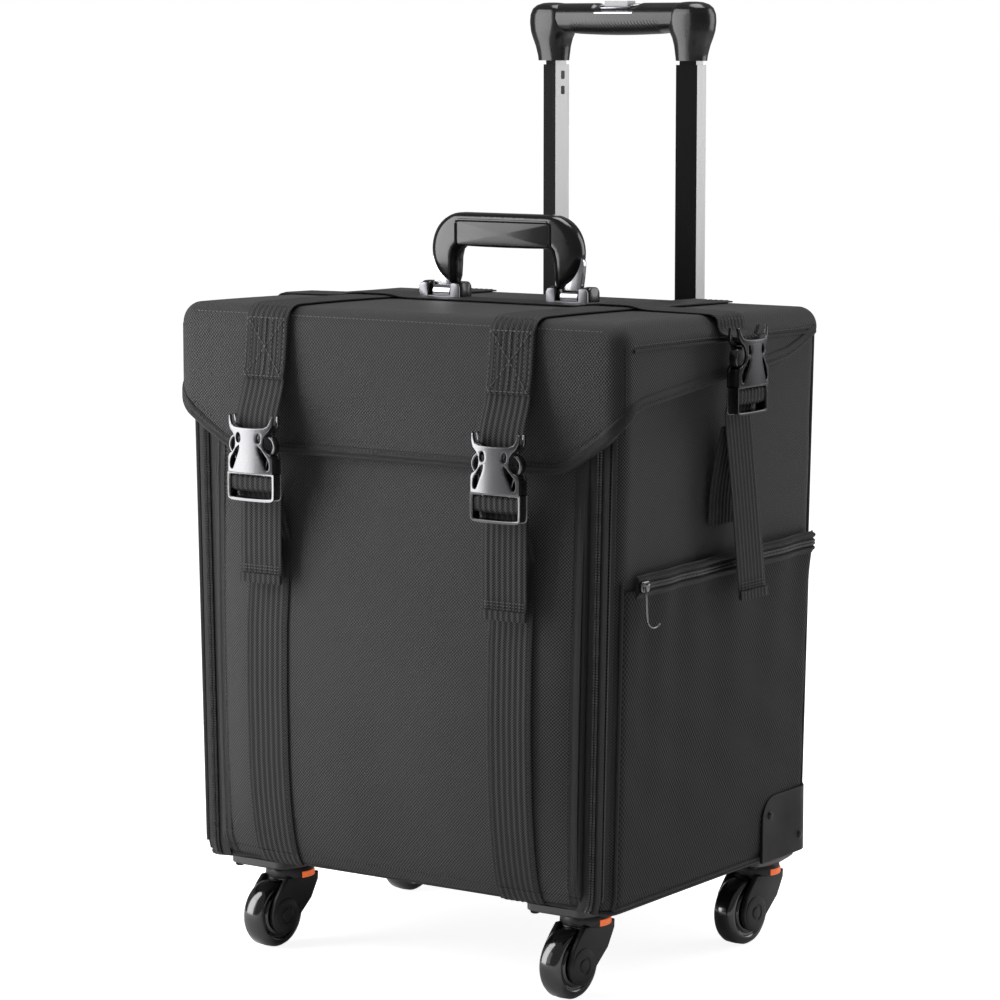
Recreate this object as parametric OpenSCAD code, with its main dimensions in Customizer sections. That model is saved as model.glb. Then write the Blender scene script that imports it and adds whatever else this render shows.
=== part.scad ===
// Soft-sided rolling case with a lift-up lid, a zip-down front, a telescopic handle and four castors.
// Millimetres, +Z up, floor at z = 0, front towards -Y.

/* [Case body] */
// Outside width of the case body
body_w = 372; // [350:2:410]
// Outside depth of the case body
body_d = 270; // [250:2:300]
// Height of the body from the underside of the base board to the rim
body_h = 396; // [370:2:440]
// Thickness of the padded walls
wall_t = 8; // [6:0.5:11]
// Thickness of the base board
base_t = 12; // [9:1:16]
// Thickness of the pad on the floor of the compartment
pad_t = 2; // [1:0.5:4]
// Gap between the floor pad and the walls
pad_gap = 1; // [0.5:0.1:2]
// Radius of the upright corners
corner_r = 14; // [12:1:20]
// Width of the fixed rim on each side of the front opening
rim_w = 12; // [10:1:18]
// Width of the zip gap between the rim and the front panel
zip_gap = 10; // [9:0.5:14]

/* [Lid] */
// Thickness of the padded top
lid_t = 9; // [7:0.5:12]
// Thickness of the lid flaps
flap_t = 5; // [3.5:0.5:6]
// Gap between the body rim and the underside of the lid
lid_gap = 1; // [0.8:0.1:2]
// Gap between the body sides and the side flaps
side_gap = 3; // [2:0.5:5]
// Gap between the front panel and the front flap
front_gap = 1.5; // [1:0.1:3]
// Height of the front flap
front_flap_h = 99; // [92:1:110]
// Height of the side flaps at the front corners
side_flap_h = 55; // [50:1:62]
// Height of the side flaps towards the hinge
side_flap_back_h = 33; // [30:1:40]
// Width of the diagonal cut at the lower corners of the front flap
flap_cut_w = 51; // [45:1:60]
// Radius along the top edges of the lid
lid_edge_r = 12; // [9:0.5:15]
// Distance that the lid stops short of the back of the body
lid_back_inset = 5; // [4:0.5:8]
// Height of the binding along the flap edges
binding_h = 8; // [5:0.5:10]
// Thickness of the bindings
binding_t = 1.4; // [0.8:0.1:2]
// Radius of the piped cord along the lid hinge
hinge_cord_r = 2.5; // [2:0.1:2.8]

/* [Front panel] */
// Distance that the top of the panel stands in front of the rim
panel_proud = 2.5; // [2:0.1:4]
// Further distance that the padding bulges forward
panel_bulge = 12.5; // [6:0.5:13]
// Clearance under and behind the panel
panel_clear = 1; // [0.5:0.1:2]

/* [Webbing and buckles] */
// Width of the webbing
strap_w = 37; // [32:0.5:38]
// Thickness of the webbing
strap_t = 2; // [1.4:0.1:2.4]
// Distance from the middle of the case to each front strap
front_strap_x = 105.5; // [98:0.5:112]
// Position of the cross strap along the depth of the lid
cross_strap_y = -4; // [-10:1:0]
// Distance from the lid flap to the outer face of a front buckle
front_stand = 25; // [23:0.5:30]
// Distance from the lid side to the outer face of a side buckle
side_stand = 19; // [17:0.5:24]
// Height of the front buckles' parting line above the floor side of the flap
front_buckle_drop = 17; // [14:1:20]
// Depth of the side buckles' parting line below the top of the lid
side_buckle_drop = 49; // [47:1:52]
// Width of a side bar of a buckle
buckle_bar = 2.2; // [1.8:0.1:3]
// Thickness of a buckle
buckle_t = 11; // [10:0.5:12]
// Height of the socket half of a buckle
socket_h = 36; // [34:1:40]
// Height of the strap frame on the plug half of a buckle
plug_h = 21; // [20:0.5:23]
// Length of the plug's prongs
prong_l = 18.5; // [16:0.5:19]
// Length of the loose strap end below the left front buckle
left_tail_l = 58; // [50:1:70]
// Length of the loose strap end below the right front buckle
right_tail_l = 67; // [50:1:70]
// Length of the loose strap ends below the side buckles
side_tail_l = 131; // [110:1:135]

/* [Carry handle] */
// Outside width of the carry handle
carry_w = 135; // [128:1:142]
// Radius of the rounded ends of the carry handle
carry_end_r = 27; // [24:0.5:29]
// Height of the gripped bar
carry_bar_h = 25; // [20:0.5:28]
// Depth of the carry handle from front to back
carry_depth = 16; // [12:0.5:17]
// Height from the pivot to the top of the carry handle
carry_rise = 59; // [56:0.5:66]
// Position of the carry handle along the depth of the lid
carry_y = 3.8; // [0:0.2:5]
// Width of a handle bracket
bracket_w = 35.5; // [33:0.5:38]
// Depth of a handle bracket
bracket_d = 17; // [14:0.5:18]
// Height of a handle bracket
bracket_h = 14; // [13:0.5:15]
// Width of the slot in a handle bracket
bracket_slot = 20; // [18:0.5:22]
// Width of the steel arms of the carry handle
arm_w = 15; // [12:0.5:16]
// Radius of the carry handle's pivot pins
carry_pin_r = 2; // [1.6:0.1:2.4]

/* [Telescopic handle] */
// Width of a middle tube
tube_w = 15; // [13:0.5:18]
// Depth of a middle tube on its inner side
tube_d = 19; // [17:0.5:22]
// Amount by which a tube is shallower on its outer side
tube_taper = 6; // [3:0.5:7]
// Wall thickness of the tubes
tube_wall = 1.3; // [1:0.1:1.5]
// Sliding clearance between the tubes
tube_clear = 0.3; // [0.2:0.05:0.4]
// Distance from the middle of the case to each tube
tube_x = 61.6; // [58:0.2:66]
// Distance from the back of the body to the middle of the tubes
tube_back = 22.4; // [20:0.2:26]
// Height of the outer tubes' top above the base board's underside
outer_top = 385; // [370:1:392]
// Length of the middle tubes
mid_l = 340; // [320:2:350]
// Length that the middle tubes stand out of the outer tubes
mid_out = 196; // [190:1:230]
// Length of the inner tubes below the grip
inner_l = 318; // [290:2:325]
// Length of inner tube seen between the grip and the middle tubes
neck_l = 3; // [2:0.5:6]
// Outside width of the grip
grip_w = 166; // [158:1:178]
// Height of the grip
grip_h = 44; // [40:1:50]
// Depth of the grip
grip_d = 28; // [26:1:32]
// Height of the grip bar
grip_bar_h = 23; // [20:1:26]
// Width of the legs of the grip
grip_leg_w = 31; // [29:0.5:34]
// Width of the release button
button_w = 21; // [16:1:26]
// Travel of the release button
button_travel = 3; // [2:0.5:4]

/* [Side pockets] */
// Height of the pocket mouth above the base board's underside
pocket_top = 228; // [200:1:250]
// Room inside a pocket
pocket_room = 5; // [4.5:0.5:7]
// Thickness of the pocket mesh
mesh_t = 1.5; // [1:0.1:2]
// Height of the pocket zip
pocket_zip_h = 6; // [5:0.5:8]
// Thickness of a zip coil
coil_t = 1.5; // [1.2:0.1:2]

/* [Corner guards] */
// Length of a corner guard along the side
guard_l = 64; // [56:1:72]
// Height of a corner guard
guard_h = 50; // [42:1:58]
// Wall thickness of a corner guard
guard_t = 2.5; // [2:0.1:3]

/* [Castors] */
// Diameter of the wheels
wheel_d = 50; // [44:1:54]
// Width of the wheels
wheel_w = 18; // [14:0.5:20]
// Distance that a wheel trails behind its swivel
castor_trail = 19; // [16:0.5:22]
// Radius of the swivel crown
crown_r = 17.3; // [16:0.1:18]
// Height of the swivel crown
crown_h = 8; // [6:0.5:10]
// Height of a castor's mounting plate
plate_h = 7.5; // [6:0.5:9]
// Width of a mounting plate
plate_w = 48; // [46:1:54]
// Length of a mounting plate
plate_l = 60.5; // [58:0.5:66]
// Distance from the middle of the case to the front castors
front_castor_x = 131; // [120:1:136]
// Distance from the middle of the case to the rear castors
rear_castor_x = 152; // [136:1:156]
// Turn of the castors about their swivels
castor_yaw = -5; // [-30:1:30]
// Thickness of a fork arm
fork_t = 4; // [3:0.5:5]
// Radius of a wheel axle
axle_r = 4; // [3:0.1:5]

/* [Hidden] */
$fn = 48;
far = 600;
touch = 0.02;
run_fit = 0.06;
skin_gap = 0.05;

base_z = wheel_d + 1 + crown_h + 0.5 + plate_h;
floor_z = base_z + base_t;
rim_z = base_z + body_h;
lid_z = rim_z + lid_gap;
lid_top = lid_z + lid_t;
front_y = -body_d / 2;
back_y = body_d / 2;
side_x = body_w / 2;
lid_x = side_x + side_gap + flap_t;
panel_y = front_y - panel_proud;
lid_front = panel_y - front_gap - flap_t;
lid_back = back_y - lid_back_inset;
hinge_y = lid_back + hinge_cord_r + 0.5;
hinge_z = rim_z + 0.5;
flap_z = lid_top - front_flap_h;

panel_x = side_x - rim_w - zip_gap;
panel_back = front_y + wall_t - panel_clear;
panel_z0 = floor_z + panel_clear;
panel_z1 = rim_z - 2;

buckle_w = strap_w + 0.6 + 2 * buckle_bar;
front_buckle_y = lid_front - front_stand + buckle_t / 2;
front_buckle_z = flap_z - front_buckle_drop;
side_buckle_x = lid_x + side_stand - buckle_t / 2;
side_buckle_z = lid_top - side_buckle_drop;
window_w = strap_w + 0.8;
cavity_w = buckle_w - 7;
cavity_t = buckle_t - 4;
socket_slot_z = socket_h - 7;
prong_x = cavity_w / 2 - 4.5;
prong_head_r = 4;
ladder_z = -plug_h / 2;
ladder_r = 1.4;
tail_y = buckle_t / 2 + 0.9 + strap_t / 2;
strap_lift = 0.1;

bracket_z = lid_top + strap_lift + strap_t;
pivot_z = bracket_z + bracket_h / 2;
bracket_x = carry_w / 2 - 11.25;
arm_r = bracket_h / 2 - 2;
carry_top = pivot_z + carry_rise;
carry_cut = norm([bracket_d / 2, bracket_h / 2]) + 1;

tube_y = back_y + tube_back;
outer_z1 = base_z + outer_top;
outer_z0 = base_z + 17;
mid_z1 = outer_z1 + mid_out;
mid_z0 = mid_z1 - mid_l;
grip_z0 = mid_z1 + neck_l;
grip_z1 = grip_z0 + grip_h;
grip_x = grip_w / 2;
grip_bar_z = grip_z1 - grip_bar_h;
outer_g = tube_clear + tube_wall;
inner_g = -tube_wall - tube_clear;
bracket_wall = 3.3;
bracket_y1 = tube_y + tube_d / 2 + outer_g + bracket_wall;
bracket_half = tube_x + tube_w / 2 + outer_g + 5;
button_d = 12;
button_h = 8;

pocket_x = side_x + pocket_room + mesh_t;
pocket_z0 = base_z + 5;
pocket_z1 = base_z + pocket_top;
pocket_y0 = front_y + corner_r;
pocket_y1 = back_y - corner_r + 7;
pocket_rim = 5;
guard_x = pocket_x + 1;

castor_z = wheel_d / 2;
crown_z = wheel_d + 1;
plate_z = crown_z + crown_h + 0.5;
plate_back = 18.5;
front_castor_y = front_y + plate_l - plate_back + 0.5;
rear_castor_y = back_y - plate_back - 7.5;
castors = [[-front_castor_x, front_castor_y], [front_castor_x, front_castor_y],
           [-rear_castor_x, rear_castor_y], [rear_castor_x, rear_castor_y]];
screw_spots = [[-18, 13], [18, 13], [-18, 5.5 - plate_l + plate_back], [18, 5.5 - plate_l + plate_back]];
screw_r = 2;
screw_hole_r = screw_r + run_fit;

// Puts the origin under the middle of the whole case.
frame_y = -(front_buckle_y - buckle_t / 2 + bracket_y1) / 2;

// ---- helpers ----

module in_frame() translate([0, frame_y, 0]) children();

module both_sides() {
    children();
    mirror([1, 0, 0]) children();
}

// Box between two corners.
module box(lo, hi) translate(lo) cube(hi - lo);

// Extrudes an outline drawn in X and Z along Y, from y0 to y1.
module along_y(y0, y1) translate([0, y1, 0]) rotate([90, 0, 0]) linear_extrude(y1 - y0) children();

// Extrudes an outline drawn in Y and Z along X, from x0 to x1.
module along_x(x0, x1) translate([x0, 0, 0]) rotate([90, 0, 90]) linear_extrude(x1 - x0) children();

// Cylinder along X, from x0 to x1.
module rod_x(x0, x1, r) translate([x0, 0, 0]) rotate([0, 90, 0]) cylinder(h = x1 - x0, r = r);

// Rectangle with four rounded corners.
module round_rect(lo, hi, r) {
    translate([lo.x + r, lo.y]) square([hi.x - lo.x - 2 * r, hi.y - lo.y]);
    translate([lo.x, lo.y + r]) square([hi.x - lo.x, hi.y - lo.y - 2 * r]);
    for (x = [lo.x + r, hi.x - r], y = [lo.y + r, hi.y - r]) translate([x, y]) circle(r);
}

// Rectangle with its two upper corners rounded.
module top_round(lo, hi, r) {
    translate([lo.x + r, lo.y]) square([hi.x - lo.x - 2 * r, hi.y - lo.y]);
    translate(lo) square([hi.x - lo.x, hi.y - lo.y - r]);
    for (x = [lo.x + r, hi.x - r]) translate([x, hi.y - r]) circle(r);
}

function unit(v) = v / norm(v);

// Offset of a path's point along the mitre of its two segments.
function mitre(p, i, t) =
    let (n = len(p) - 1,
         a = unit(p[min(i + 1, n)] - p[min(i, n - 1)]),
         b = unit(p[max(i, 1)] - p[max(i - 1, 0)]),
         m = unit([-a.y - b.y, a.x + b.x]))
    p[i] + m * t / (m.x * -b.y + m.y * b.x);

// Flat band of thickness t to the left of a path.
module band(p, t) polygon(concat(p, [for (i = [len(p) - 1:-1:0]) mitre(p, i, t)]));

// Points of a quarter turn about c, from the angle a0 to a1.
function arc(c, r, a0, a1, n = 9) = [for (i = [0:n]) let (a = a0 + (a1 - a0) * i / n) c + r * [cos(a), sin(a)]];

// Point where the line from p touches a circle, on the side s.
function tangent(p, c, r, s) =
    let (v = p - c, d = norm(v), a = atan2(v.y, v.x) + s * acos(r / d)) c + r * [cos(a), sin(a)];

// ---- body ----

module wall_ring(z0, z1) {
    translate([0, 0, z0]) linear_extrude(z1 - z0) difference() {
        round_rect([-side_x, front_y], [side_x, back_y], corner_r);
        round_rect([-side_x + wall_t, front_y + wall_t], [side_x - wall_t, back_y - wall_t], corner_r - wall_t / 2);
    }
}

module base_board() {
    inset = wall_t + pad_gap;
    in_frame() color("#1b1b1d") difference() {
        union() {
            translate([0, 0, base_z]) linear_extrude(base_t)
                round_rect([-side_x, front_y], [side_x, back_y], corner_r);
            translate([0, 0, floor_z - touch]) linear_extrude(pad_t + touch)
                round_rect([-side_x + inset, front_y + inset], [side_x - inset, back_y - inset], corner_r - wall_t / 2);
        }
        for (c = castors, s = screw_spots)
            translate([c.x + s.x, c.y + s.y, base_z - 1]) cylinder(h = base_t - 2, r = screw_hole_r);
    }
}

module back_panel() {
    in_frame() color("#202022") intersection() {
        wall_ring(floor_z, hinge_z - hinge_cord_r);
        box([-far, back_y - corner_r, 0], [far, far, far]);
    }
}

module side_panel() {
    intersection() {
        wall_ring(floor_z, rim_z);
        box([0, front_y + corner_r, 0], [far, back_y - corner_r, far]);
    }
}

module right_side_panel() in_frame() color("#232325") side_panel();

module left_side_panel() in_frame() color("#232325") mirror([1, 0, 0]) side_panel();

module front_rim() {
    intersection() {
        wall_ring(floor_z, rim_z);
        box([side_x - rim_w, -far, 0], [far, front_y + corner_r, far]);
    }
}

module right_front_rim() in_frame() color("#1e1e20") front_rim();

module left_front_rim() in_frame() color("#1e1e20") mirror([1, 0, 0]) front_rim();

module hinge_cord() {
    in_frame() color("#161617") translate([0, hinge_y, hinge_z])
        rod_x(-side_x + corner_r, side_x - corner_r, hinge_cord_r);
}

// Zip tape and coil along each side of the front opening.
zip_x = side_x - rim_w - 0.4 * zip_gap;
coil_w = 4;
coil_front = front_y - 0.5;
module front_zip_tapes() {
    in_frame() color("#111112") both_sides() {
        box([panel_x + 0.6, front_y + 1.5, floor_z + 6], [side_x - rim_w, front_y + 3, panel_z1]);
        box([zip_x - coil_w / 2, coil_front, floor_z + 6], [zip_x + coil_w / 2, front_y + 1.5, panel_z1]);
    }
}

// ---- side pockets ----

module pocket() {
    difference() {
        box([side_x, pocket_y0, pocket_z0], [pocket_x, pocket_y1, pocket_z1]);
        box([side_x - 1, pocket_y0 + pocket_rim, pocket_z0 + pocket_rim],
            [side_x + pocket_room, pocket_y1 - pocket_rim, pocket_z1 + 1]);
        along_x(side_x - 1, pocket_x + 1) guard_outline(0);
    }
}

module right_pocket() in_frame() color("#19191a") pocket();

module left_pocket() in_frame() color("#19191a") mirror([1, 0, 0]) pocket();

coil_z = pocket_z1 + pocket_zip_h / 2;
module pocket_zip() {
    box([side_x, pocket_y0, pocket_z1], [pocket_x, pocket_y1, pocket_z1 + pocket_zip_h]);
    box([pocket_x, pocket_y0 + 4, coil_z - coil_w / 2], [pocket_x + coil_t, pocket_y1, coil_z + coil_w / 2]);
}

module right_pocket_zip() in_frame() color("#0f0f10") pocket_zip();

module left_pocket_zip() in_frame() color("#0f0f10") mirror([1, 0, 0]) pocket_zip();

slider_t = 2;
slider_l = 10;
pocket_slider_y = pocket_y0 + 11;
module pocket_slider() {
    x0 = pocket_x + coil_t + 0.4;
    translate([0, pocket_slider_y, coil_z]) {
        box([x0, -slider_l / 2, -4.5], [x0 + slider_t, slider_l / 2, 4.5]);
        box([x0 + 0.4, -2, -31], [x0 + 1.6, 2, -4.5 + touch]);
    }
}

module right_pocket_slider() in_frame() color("#8d8d90") pocket_slider();

module left_pocket_slider() in_frame() color("#8d8d90") mirror([1, 0, 0]) pocket_slider();

front_slider_z = panel_z1 - 10;
module front_slider() {
    y1 = coil_front - 0.4;
    translate([zip_x, 0, front_slider_z]) {
        box([-3.2, y1 - 1.8, -slider_l / 2], [3.2, y1, slider_l / 2]);
        box([-1.5, y1 - 1.5, -30], [1.5, y1 - 0.4, -slider_l / 2 + touch]);
    }
}

module right_front_slider() in_frame() color("#77777a") front_slider();

module left_front_slider() in_frame() color("#77777a") mirror([1, 0, 0]) front_slider();

// ---- corner guards ----

// Outline of a guard on the side of the case, grown by g.
module guard_outline(g) {
    r = 16;
    y0 = back_y - guard_l - g;
    z1 = base_z + guard_h + g;
    translate([y0 + r, z1 - r]) circle(r);
    translate([y0, base_z]) square([back_y + guard_t - y0, guard_h + g - r]);
    translate([y0 + r, base_z]) square([back_y + guard_t - y0 - r, guard_h + g]);
}

module corner_guard() {
    difference() {
        along_x(side_x, guard_x + guard_t) guard_outline(0);
        along_x(side_x - 1, guard_x) guard_outline(-guard_t);
        box([0, back_y - guard_t - 0.01, 0], [guard_x, back_y, far]);
    }
    box([side_x - 46, back_y, base_z], [side_x, back_y + guard_t, base_z + guard_h]);
}

module right_corner_guard() in_frame() color("#29292b") corner_guard();

module left_corner_guard() in_frame() color("#29292b") mirror([1, 0, 0]) corner_guard();

module guard_rivets() {
    in_frame() color("#555558") both_sides() {
        translate([0, back_y - guard_l + 14, base_z + guard_h - 15])
            rod_x(guard_x + guard_t, guard_x + guard_t + 1.2, 3.2);
        translate([0, back_y - 12, base_z + 14]) rod_x(guard_x + guard_t, guard_x + guard_t + 1.2, 3.2);
    }
}

// ---- telescopic handle ----

// Section of a tube with a slanted front, grown by g.
module tube_section(g) {
    s = tube_taper / tube_w;
    k = sqrt(1 + s * s);
    x = tube_w / 2 + g;
    polygon([[-x, -tube_d / 2 - g * (k + s)], [x, -tube_d / 2 + tube_taper - g * (k - s)],
        [x, tube_d / 2 + g], [-x, tube_d / 2 + g]]);
}

// Tube pair between two heights, with outer growth g and wall thickness t.
module tube_pair(z0, z1, g, t) {
    both_sides() translate([tube_x, tube_y, z0]) linear_extrude(z1 - z0) difference() {
        tube_section(g);
        tube_section(g - t);
    }
}

module outer_tubes() in_frame() color("#3a3a3c") tube_pair(outer_z0, outer_z1, outer_g, tube_wall);

module mid_tubes() in_frame() color("#b9b9bc") tube_pair(mid_z0, mid_z1, 0, tube_wall);

module inner_tubes() in_frame() color("#c9c9cc") tube_pair(grip_z0 - inner_l, grip_z0 + 14, inner_g, tube_wall);

module trolley_bracket() {
    in_frame() color("#161617") difference() {
        box([-bracket_half, back_y, outer_z1 - 14], [bracket_half, bracket_y1, outer_z1 + 5]);
        both_sides() translate([tube_x, tube_y, 0]) {
            translate([0, 0, outer_z1 - 15]) linear_extrude(15) tube_section(outer_g);
            translate([0, 0, outer_z1 - 1]) linear_extrude(10) tube_section(tube_clear);
        }
    }
}

module trolley_foot() {
    in_frame() color("#161617") difference() {
        box([-bracket_half, back_y, base_z + 3], [bracket_half, bracket_y1, base_z + 29]);
        both_sides() translate([tube_x, tube_y, outer_z0]) linear_extrude(far) tube_section(outer_g);
    }
}

// Front view of the grip: a bar with rounded shoulders on two legs.
module grip_outline() {
    r = 14;
    leg_in = tube_x - grip_leg_w / 2;
    leg_out = tube_x + grip_leg_w / 2;
    both_sides() {
        translate([0, grip_bar_z]) square([grip_x - r, grip_bar_h]);
        translate([grip_x - r, grip_z1 - r]) circle(r);
        polygon([[leg_in, grip_z0], [leg_out, grip_z0], [grip_x, grip_z1 - r], [grip_x - r, grip_z1 - 1],
            [leg_in - 3, grip_bar_z + 1]]);
    }
}

module trolley_grip() {
    in_frame() color("#19191a") difference() {
        intersection() {
            along_y(tube_y - grip_d / 2, tube_y + grip_d / 2) grip_outline();
            along_x(-far, far) top_round([tube_y - grip_d / 2, grip_z0], [tube_y + grip_d / 2, grip_z1], 9);
        }
        both_sides() translate([tube_x, tube_y, grip_z0 - 1]) linear_extrude(15) tube_section(inner_g);
        box([-button_w / 2, tube_y - button_d / 2 - 3, grip_z1 - button_h - button_travel],
            [button_w / 2, tube_y + button_d / 2 - 3, far * 2]);
    }
}

module trolley_button() {
    g = 0.3;
    in_frame() color("#c4c4c7")
        box([-button_w / 2 + g, tube_y - button_d / 2 - 3 + g, grip_z1 - button_h],
            [button_w / 2 - g, tube_y + button_d / 2 - 3 - g, grip_z1 + 1]);
}

// ---- lid ----

module lid_block(g) {
    z0 = flap_z - 20;
    intersection() {
        translate([0, 0, z0]) linear_extrude(far)
            round_rect([-lid_x - g, lid_front - g], [lid_x + g, lid_back + g], corner_r + g);
        along_x(-far, far) top_round([lid_front - g, z0], [lid_back + g, lid_top + g], lid_edge_r + g);
        along_y(-far, far) top_round([-lid_x - g, z0], [lid_x + g, lid_top + g], lid_edge_r + g);
    }
}

// Space above the cut edges of the flaps, raised by dz.
module flap_space(dz) {
    w = lid_x + 5;
    x1 = lid_x - flap_cut_w;
    corner_z = lid_top - side_flap_h - 14;
    z1 = lid_top - side_flap_h;
    z2 = lid_top - side_flap_back_h;
    y1 = lid_front + flap_t;
    translate([0, 0, dz]) intersection() {
        along_y(-far, far) polygon([[-w, corner_z + 4], [-lid_x, corner_z], [-lid_x + 16, corner_z - 14], [-x1, flap_z],
            [x1, flap_z], [lid_x - 16, corner_z - 14], [lid_x, corner_z], [w, corner_z + 4], [w, far], [-w, far]]);
        along_x(-far, far) polygon([[-far, 0], [y1, 0], [y1, corner_z + 3], [y1 + 21, z1], [lid_back - 55, z2],
            [lid_back - 26, z2 + 10], [lid_back - 6, lid_z], [far, lid_z], [far, far], [-far, far]]);
    }
}

module lid_cover() {
    in_frame() color("#242426") difference() {
        intersection() {
            lid_block(0);
            flap_space(0);
        }
        translate([0, 0, -far]) linear_extrude(far + lid_z)
            round_rect([-lid_x + flap_t, lid_front + flap_t], [lid_x - flap_t, far], corner_r - flap_t);
    }
}

module lid_binding() {
    in_frame() color("#131314") difference() {
        intersection() {
            lid_block(binding_t);
            flap_space(-0.5);
            box([-far, -far, 0], [far, lid_back - 7, far]);
        }
        lid_block(skin_gap);
        flap_space(binding_h);
    }
}

// Path of a front strap from the back of the lid down to its buckle, in Y and Z.
strap_r = lid_edge_r + strap_lift;
bar_back = front_buckle_y + 0.8;
lid_strap_path = concat([[lid_back - lid_edge_r, lid_top + strap_lift]],
    arc([lid_front + lid_edge_r, lid_top - lid_edge_r], strap_r, 90, 180),
    [[lid_front - strap_lift, flap_z + 32], [bar_back - strap_t + 3, front_buckle_z + socket_h + 6],
     [bar_back + strap_t, front_buckle_z + socket_slot_z + 1]]);

module lid_strap(x) {
    in_frame() color("#1a1a1b") translate([x, 0, 0]) along_x(-strap_w / 2, strap_w / 2)
        band([for (i = [len(lid_strap_path) - 1:-1:0]) lid_strap_path[i]], strap_t);
}

module left_lid_strap() lid_strap(-front_strap_x);

module right_lid_strap() lid_strap(front_strap_x);

// Right half of the cross strap's path, in X and Z: over the front strap, then down to the side buckle.
hump = strap_t + 0.3;
hump_in = front_strap_x - strap_w / 2 - 1;
hump_out = front_strap_x + strap_w / 2 + 1;
cross_end_x = side_buckle_x - 0.8 - strap_t;
cross_half = concat(
    [[hump_in - 4, lid_top + strap_lift], [hump_in, lid_top + strap_lift + hump],
     [hump_out, lid_top + strap_lift + hump], [hump_out + 4, lid_top + strap_lift]],
    arc([lid_x - lid_edge_r, lid_top - lid_edge_r], strap_r, 90, 20),
    [[cross_end_x, side_buckle_z + socket_h - 2], [cross_end_x, side_buckle_z + socket_slot_z + 1]]);

module cross_strap() {
    n = len(cross_half) - 1;
    path = concat([for (i = [n:-1:0]) cross_half[i]], [for (p = cross_half) [-p.x, p.y]]);
    in_frame() color("#1a1a1b") along_y(cross_strap_y - strap_w / 2, cross_strap_y + strap_w / 2)
        mirror([1, 0]) band([for (i = [len(path) - 1:-1:0]) path[i]], strap_t);
}

// ---- buckles ----

// Socket half, with its parting line at z = 0 and its outer face towards -Y.
module socket() {
    difference() {
        along_y(-buckle_t / 2, buckle_t / 2) {
            translate([-buckle_w / 2, 0]) square([buckle_w, 13]);
            translate([-buckle_w / 2 + 2, 0]) square([buckle_w - 4, socket_h]);
            translate([-buckle_w / 2, socket_slot_z]) square([buckle_w, socket_h - socket_slot_z]);
        }
        box([-cavity_w / 2, -cavity_t / 2, -1], [cavity_w / 2, cavity_t / 2, prong_l + 2]);
        both_sides() box([cavity_w / 2 - 6, -cavity_t / 2, prong_l - 10], [far, cavity_t / 2, prong_l + 2]);
        box([-window_w / 2, -far, socket_slot_z], [window_w / 2, far, socket_slot_z + 3.5]);
        box([-far, 0, socket_slot_z], [far, far, far]);
    }
    both_sides() box([window_w / 2, -buckle_t / 2, socket_h - touch], [buckle_w / 2, 0, socket_h + 8]);
}

// Plug half, below the same parting line.
module plug() {
    top = -0.4;
    difference() {
        box([-buckle_w / 2, -buckle_t / 2 + 1, -plug_h], [buckle_w / 2, buckle_t / 2 - 1, top]);
        box([-window_w / 2, -far, -plug_h + 2.5], [window_w / 2, far, -4.5]);
    }
    translate([0, 0, ladder_z]) rod_x(-window_w / 2 - 1, window_w / 2 + 1, ladder_r);
    along_y(-cavity_t / 2 + 0.5, cavity_t / 2 - 0.5) {
        both_sides() {
            translate([prong_x - 2, -1]) square([4, prong_l - prong_head_r]);
            translate([prong_x, prong_l - prong_head_r]) circle(prong_head_r);
        }
        translate([-2.5, -1]) square([5, prong_l - 2]);
    }
}

// Path of the webbing hooked over the plug's bar and out behind its frame.
function hook_path(z1) = let (r = ladder_r + 0.2, b = r + strap_t) [
    [-r, ladder_z - 1], [-r, ladder_z + r], [r, ladder_z + r], [r, ladder_z - 2.5],
    [tail_y - strap_t / 2, -plug_h + 3], [tail_y - strap_t / 2, z1]];

module hook(z1) along_x(-strap_w / 2, strap_w / 2) mirror([1, 0]) band([for (p = hook_path(z1)) [-p.x, p.y]], -strap_t);

module at_front_buckle(x) translate([x, front_buckle_y, front_buckle_z]) children();

module at_side_buckle() translate([side_buckle_x, cross_strap_y, side_buckle_z]) rotate([0, 0, 90]) children();

module front_sockets() in_frame() color("#a9a9ac") both_sides() at_front_buckle(front_strap_x) socket();

module side_sockets() in_frame() color("#2b2b2d") both_sides() at_side_buckle() socket();

module front_left_plug() in_frame() color("#a2a2a5") at_front_buckle(-front_strap_x) plug();

module front_right_plug() in_frame() color("#a2a2a5") at_front_buckle(front_strap_x) plug();

module side_right_plug() in_frame() color("#2b2b2d") at_side_buckle() plug();

module side_left_plug() in_frame() color("#2b2b2d") mirror([1, 0, 0]) at_side_buckle() plug();

module front_left_tail() in_frame() color("#1a1a1b") at_front_buckle(-front_strap_x) hook(-plug_h - left_tail_l);

module front_right_tail() in_frame() color("#1a1a1b") at_front_buckle(front_strap_x) hook(-plug_h - right_tail_l);

// A side tail hangs slightly backwards from just below its plug.
tail_lean = 22;
module side_tail() {
    at_side_buckle() {
        hook(-plug_h - 4);
        along_y(tail_y - strap_t / 2, tail_y + strap_t / 2) polygon([[-strap_w / 2, -plug_h - 3],
            [strap_w / 2, -plug_h - 3], [strap_w / 2 + tail_lean, -plug_h - side_tail_l],
            [-strap_w / 2 + tail_lean, -plug_h - side_tail_l]]);
    }
}

module side_right_tail() in_frame() color("#1a1a1b") side_tail();

module side_left_tail() in_frame() color("#1a1a1b") mirror([1, 0, 0]) side_tail();

// Webbing sewn to the body side below each side buckle.
module side_anchor_straps() {
    x0 = side_x + strap_lift;
    x1 = side_buckle_x - tail_y - strap_t / 2 - 0.7 - strap_t;
    z1 = side_buckle_z - plug_h - 6;
    in_frame() color("#1a1a1b") both_sides()
        along_y(cross_strap_y - strap_w / 2, cross_strap_y + strap_w / 2)
            band([[x1, z1], [x0, z1 - 42], [x0, z1 - 70]], strap_t);
}

// ---- front panel ----

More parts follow.
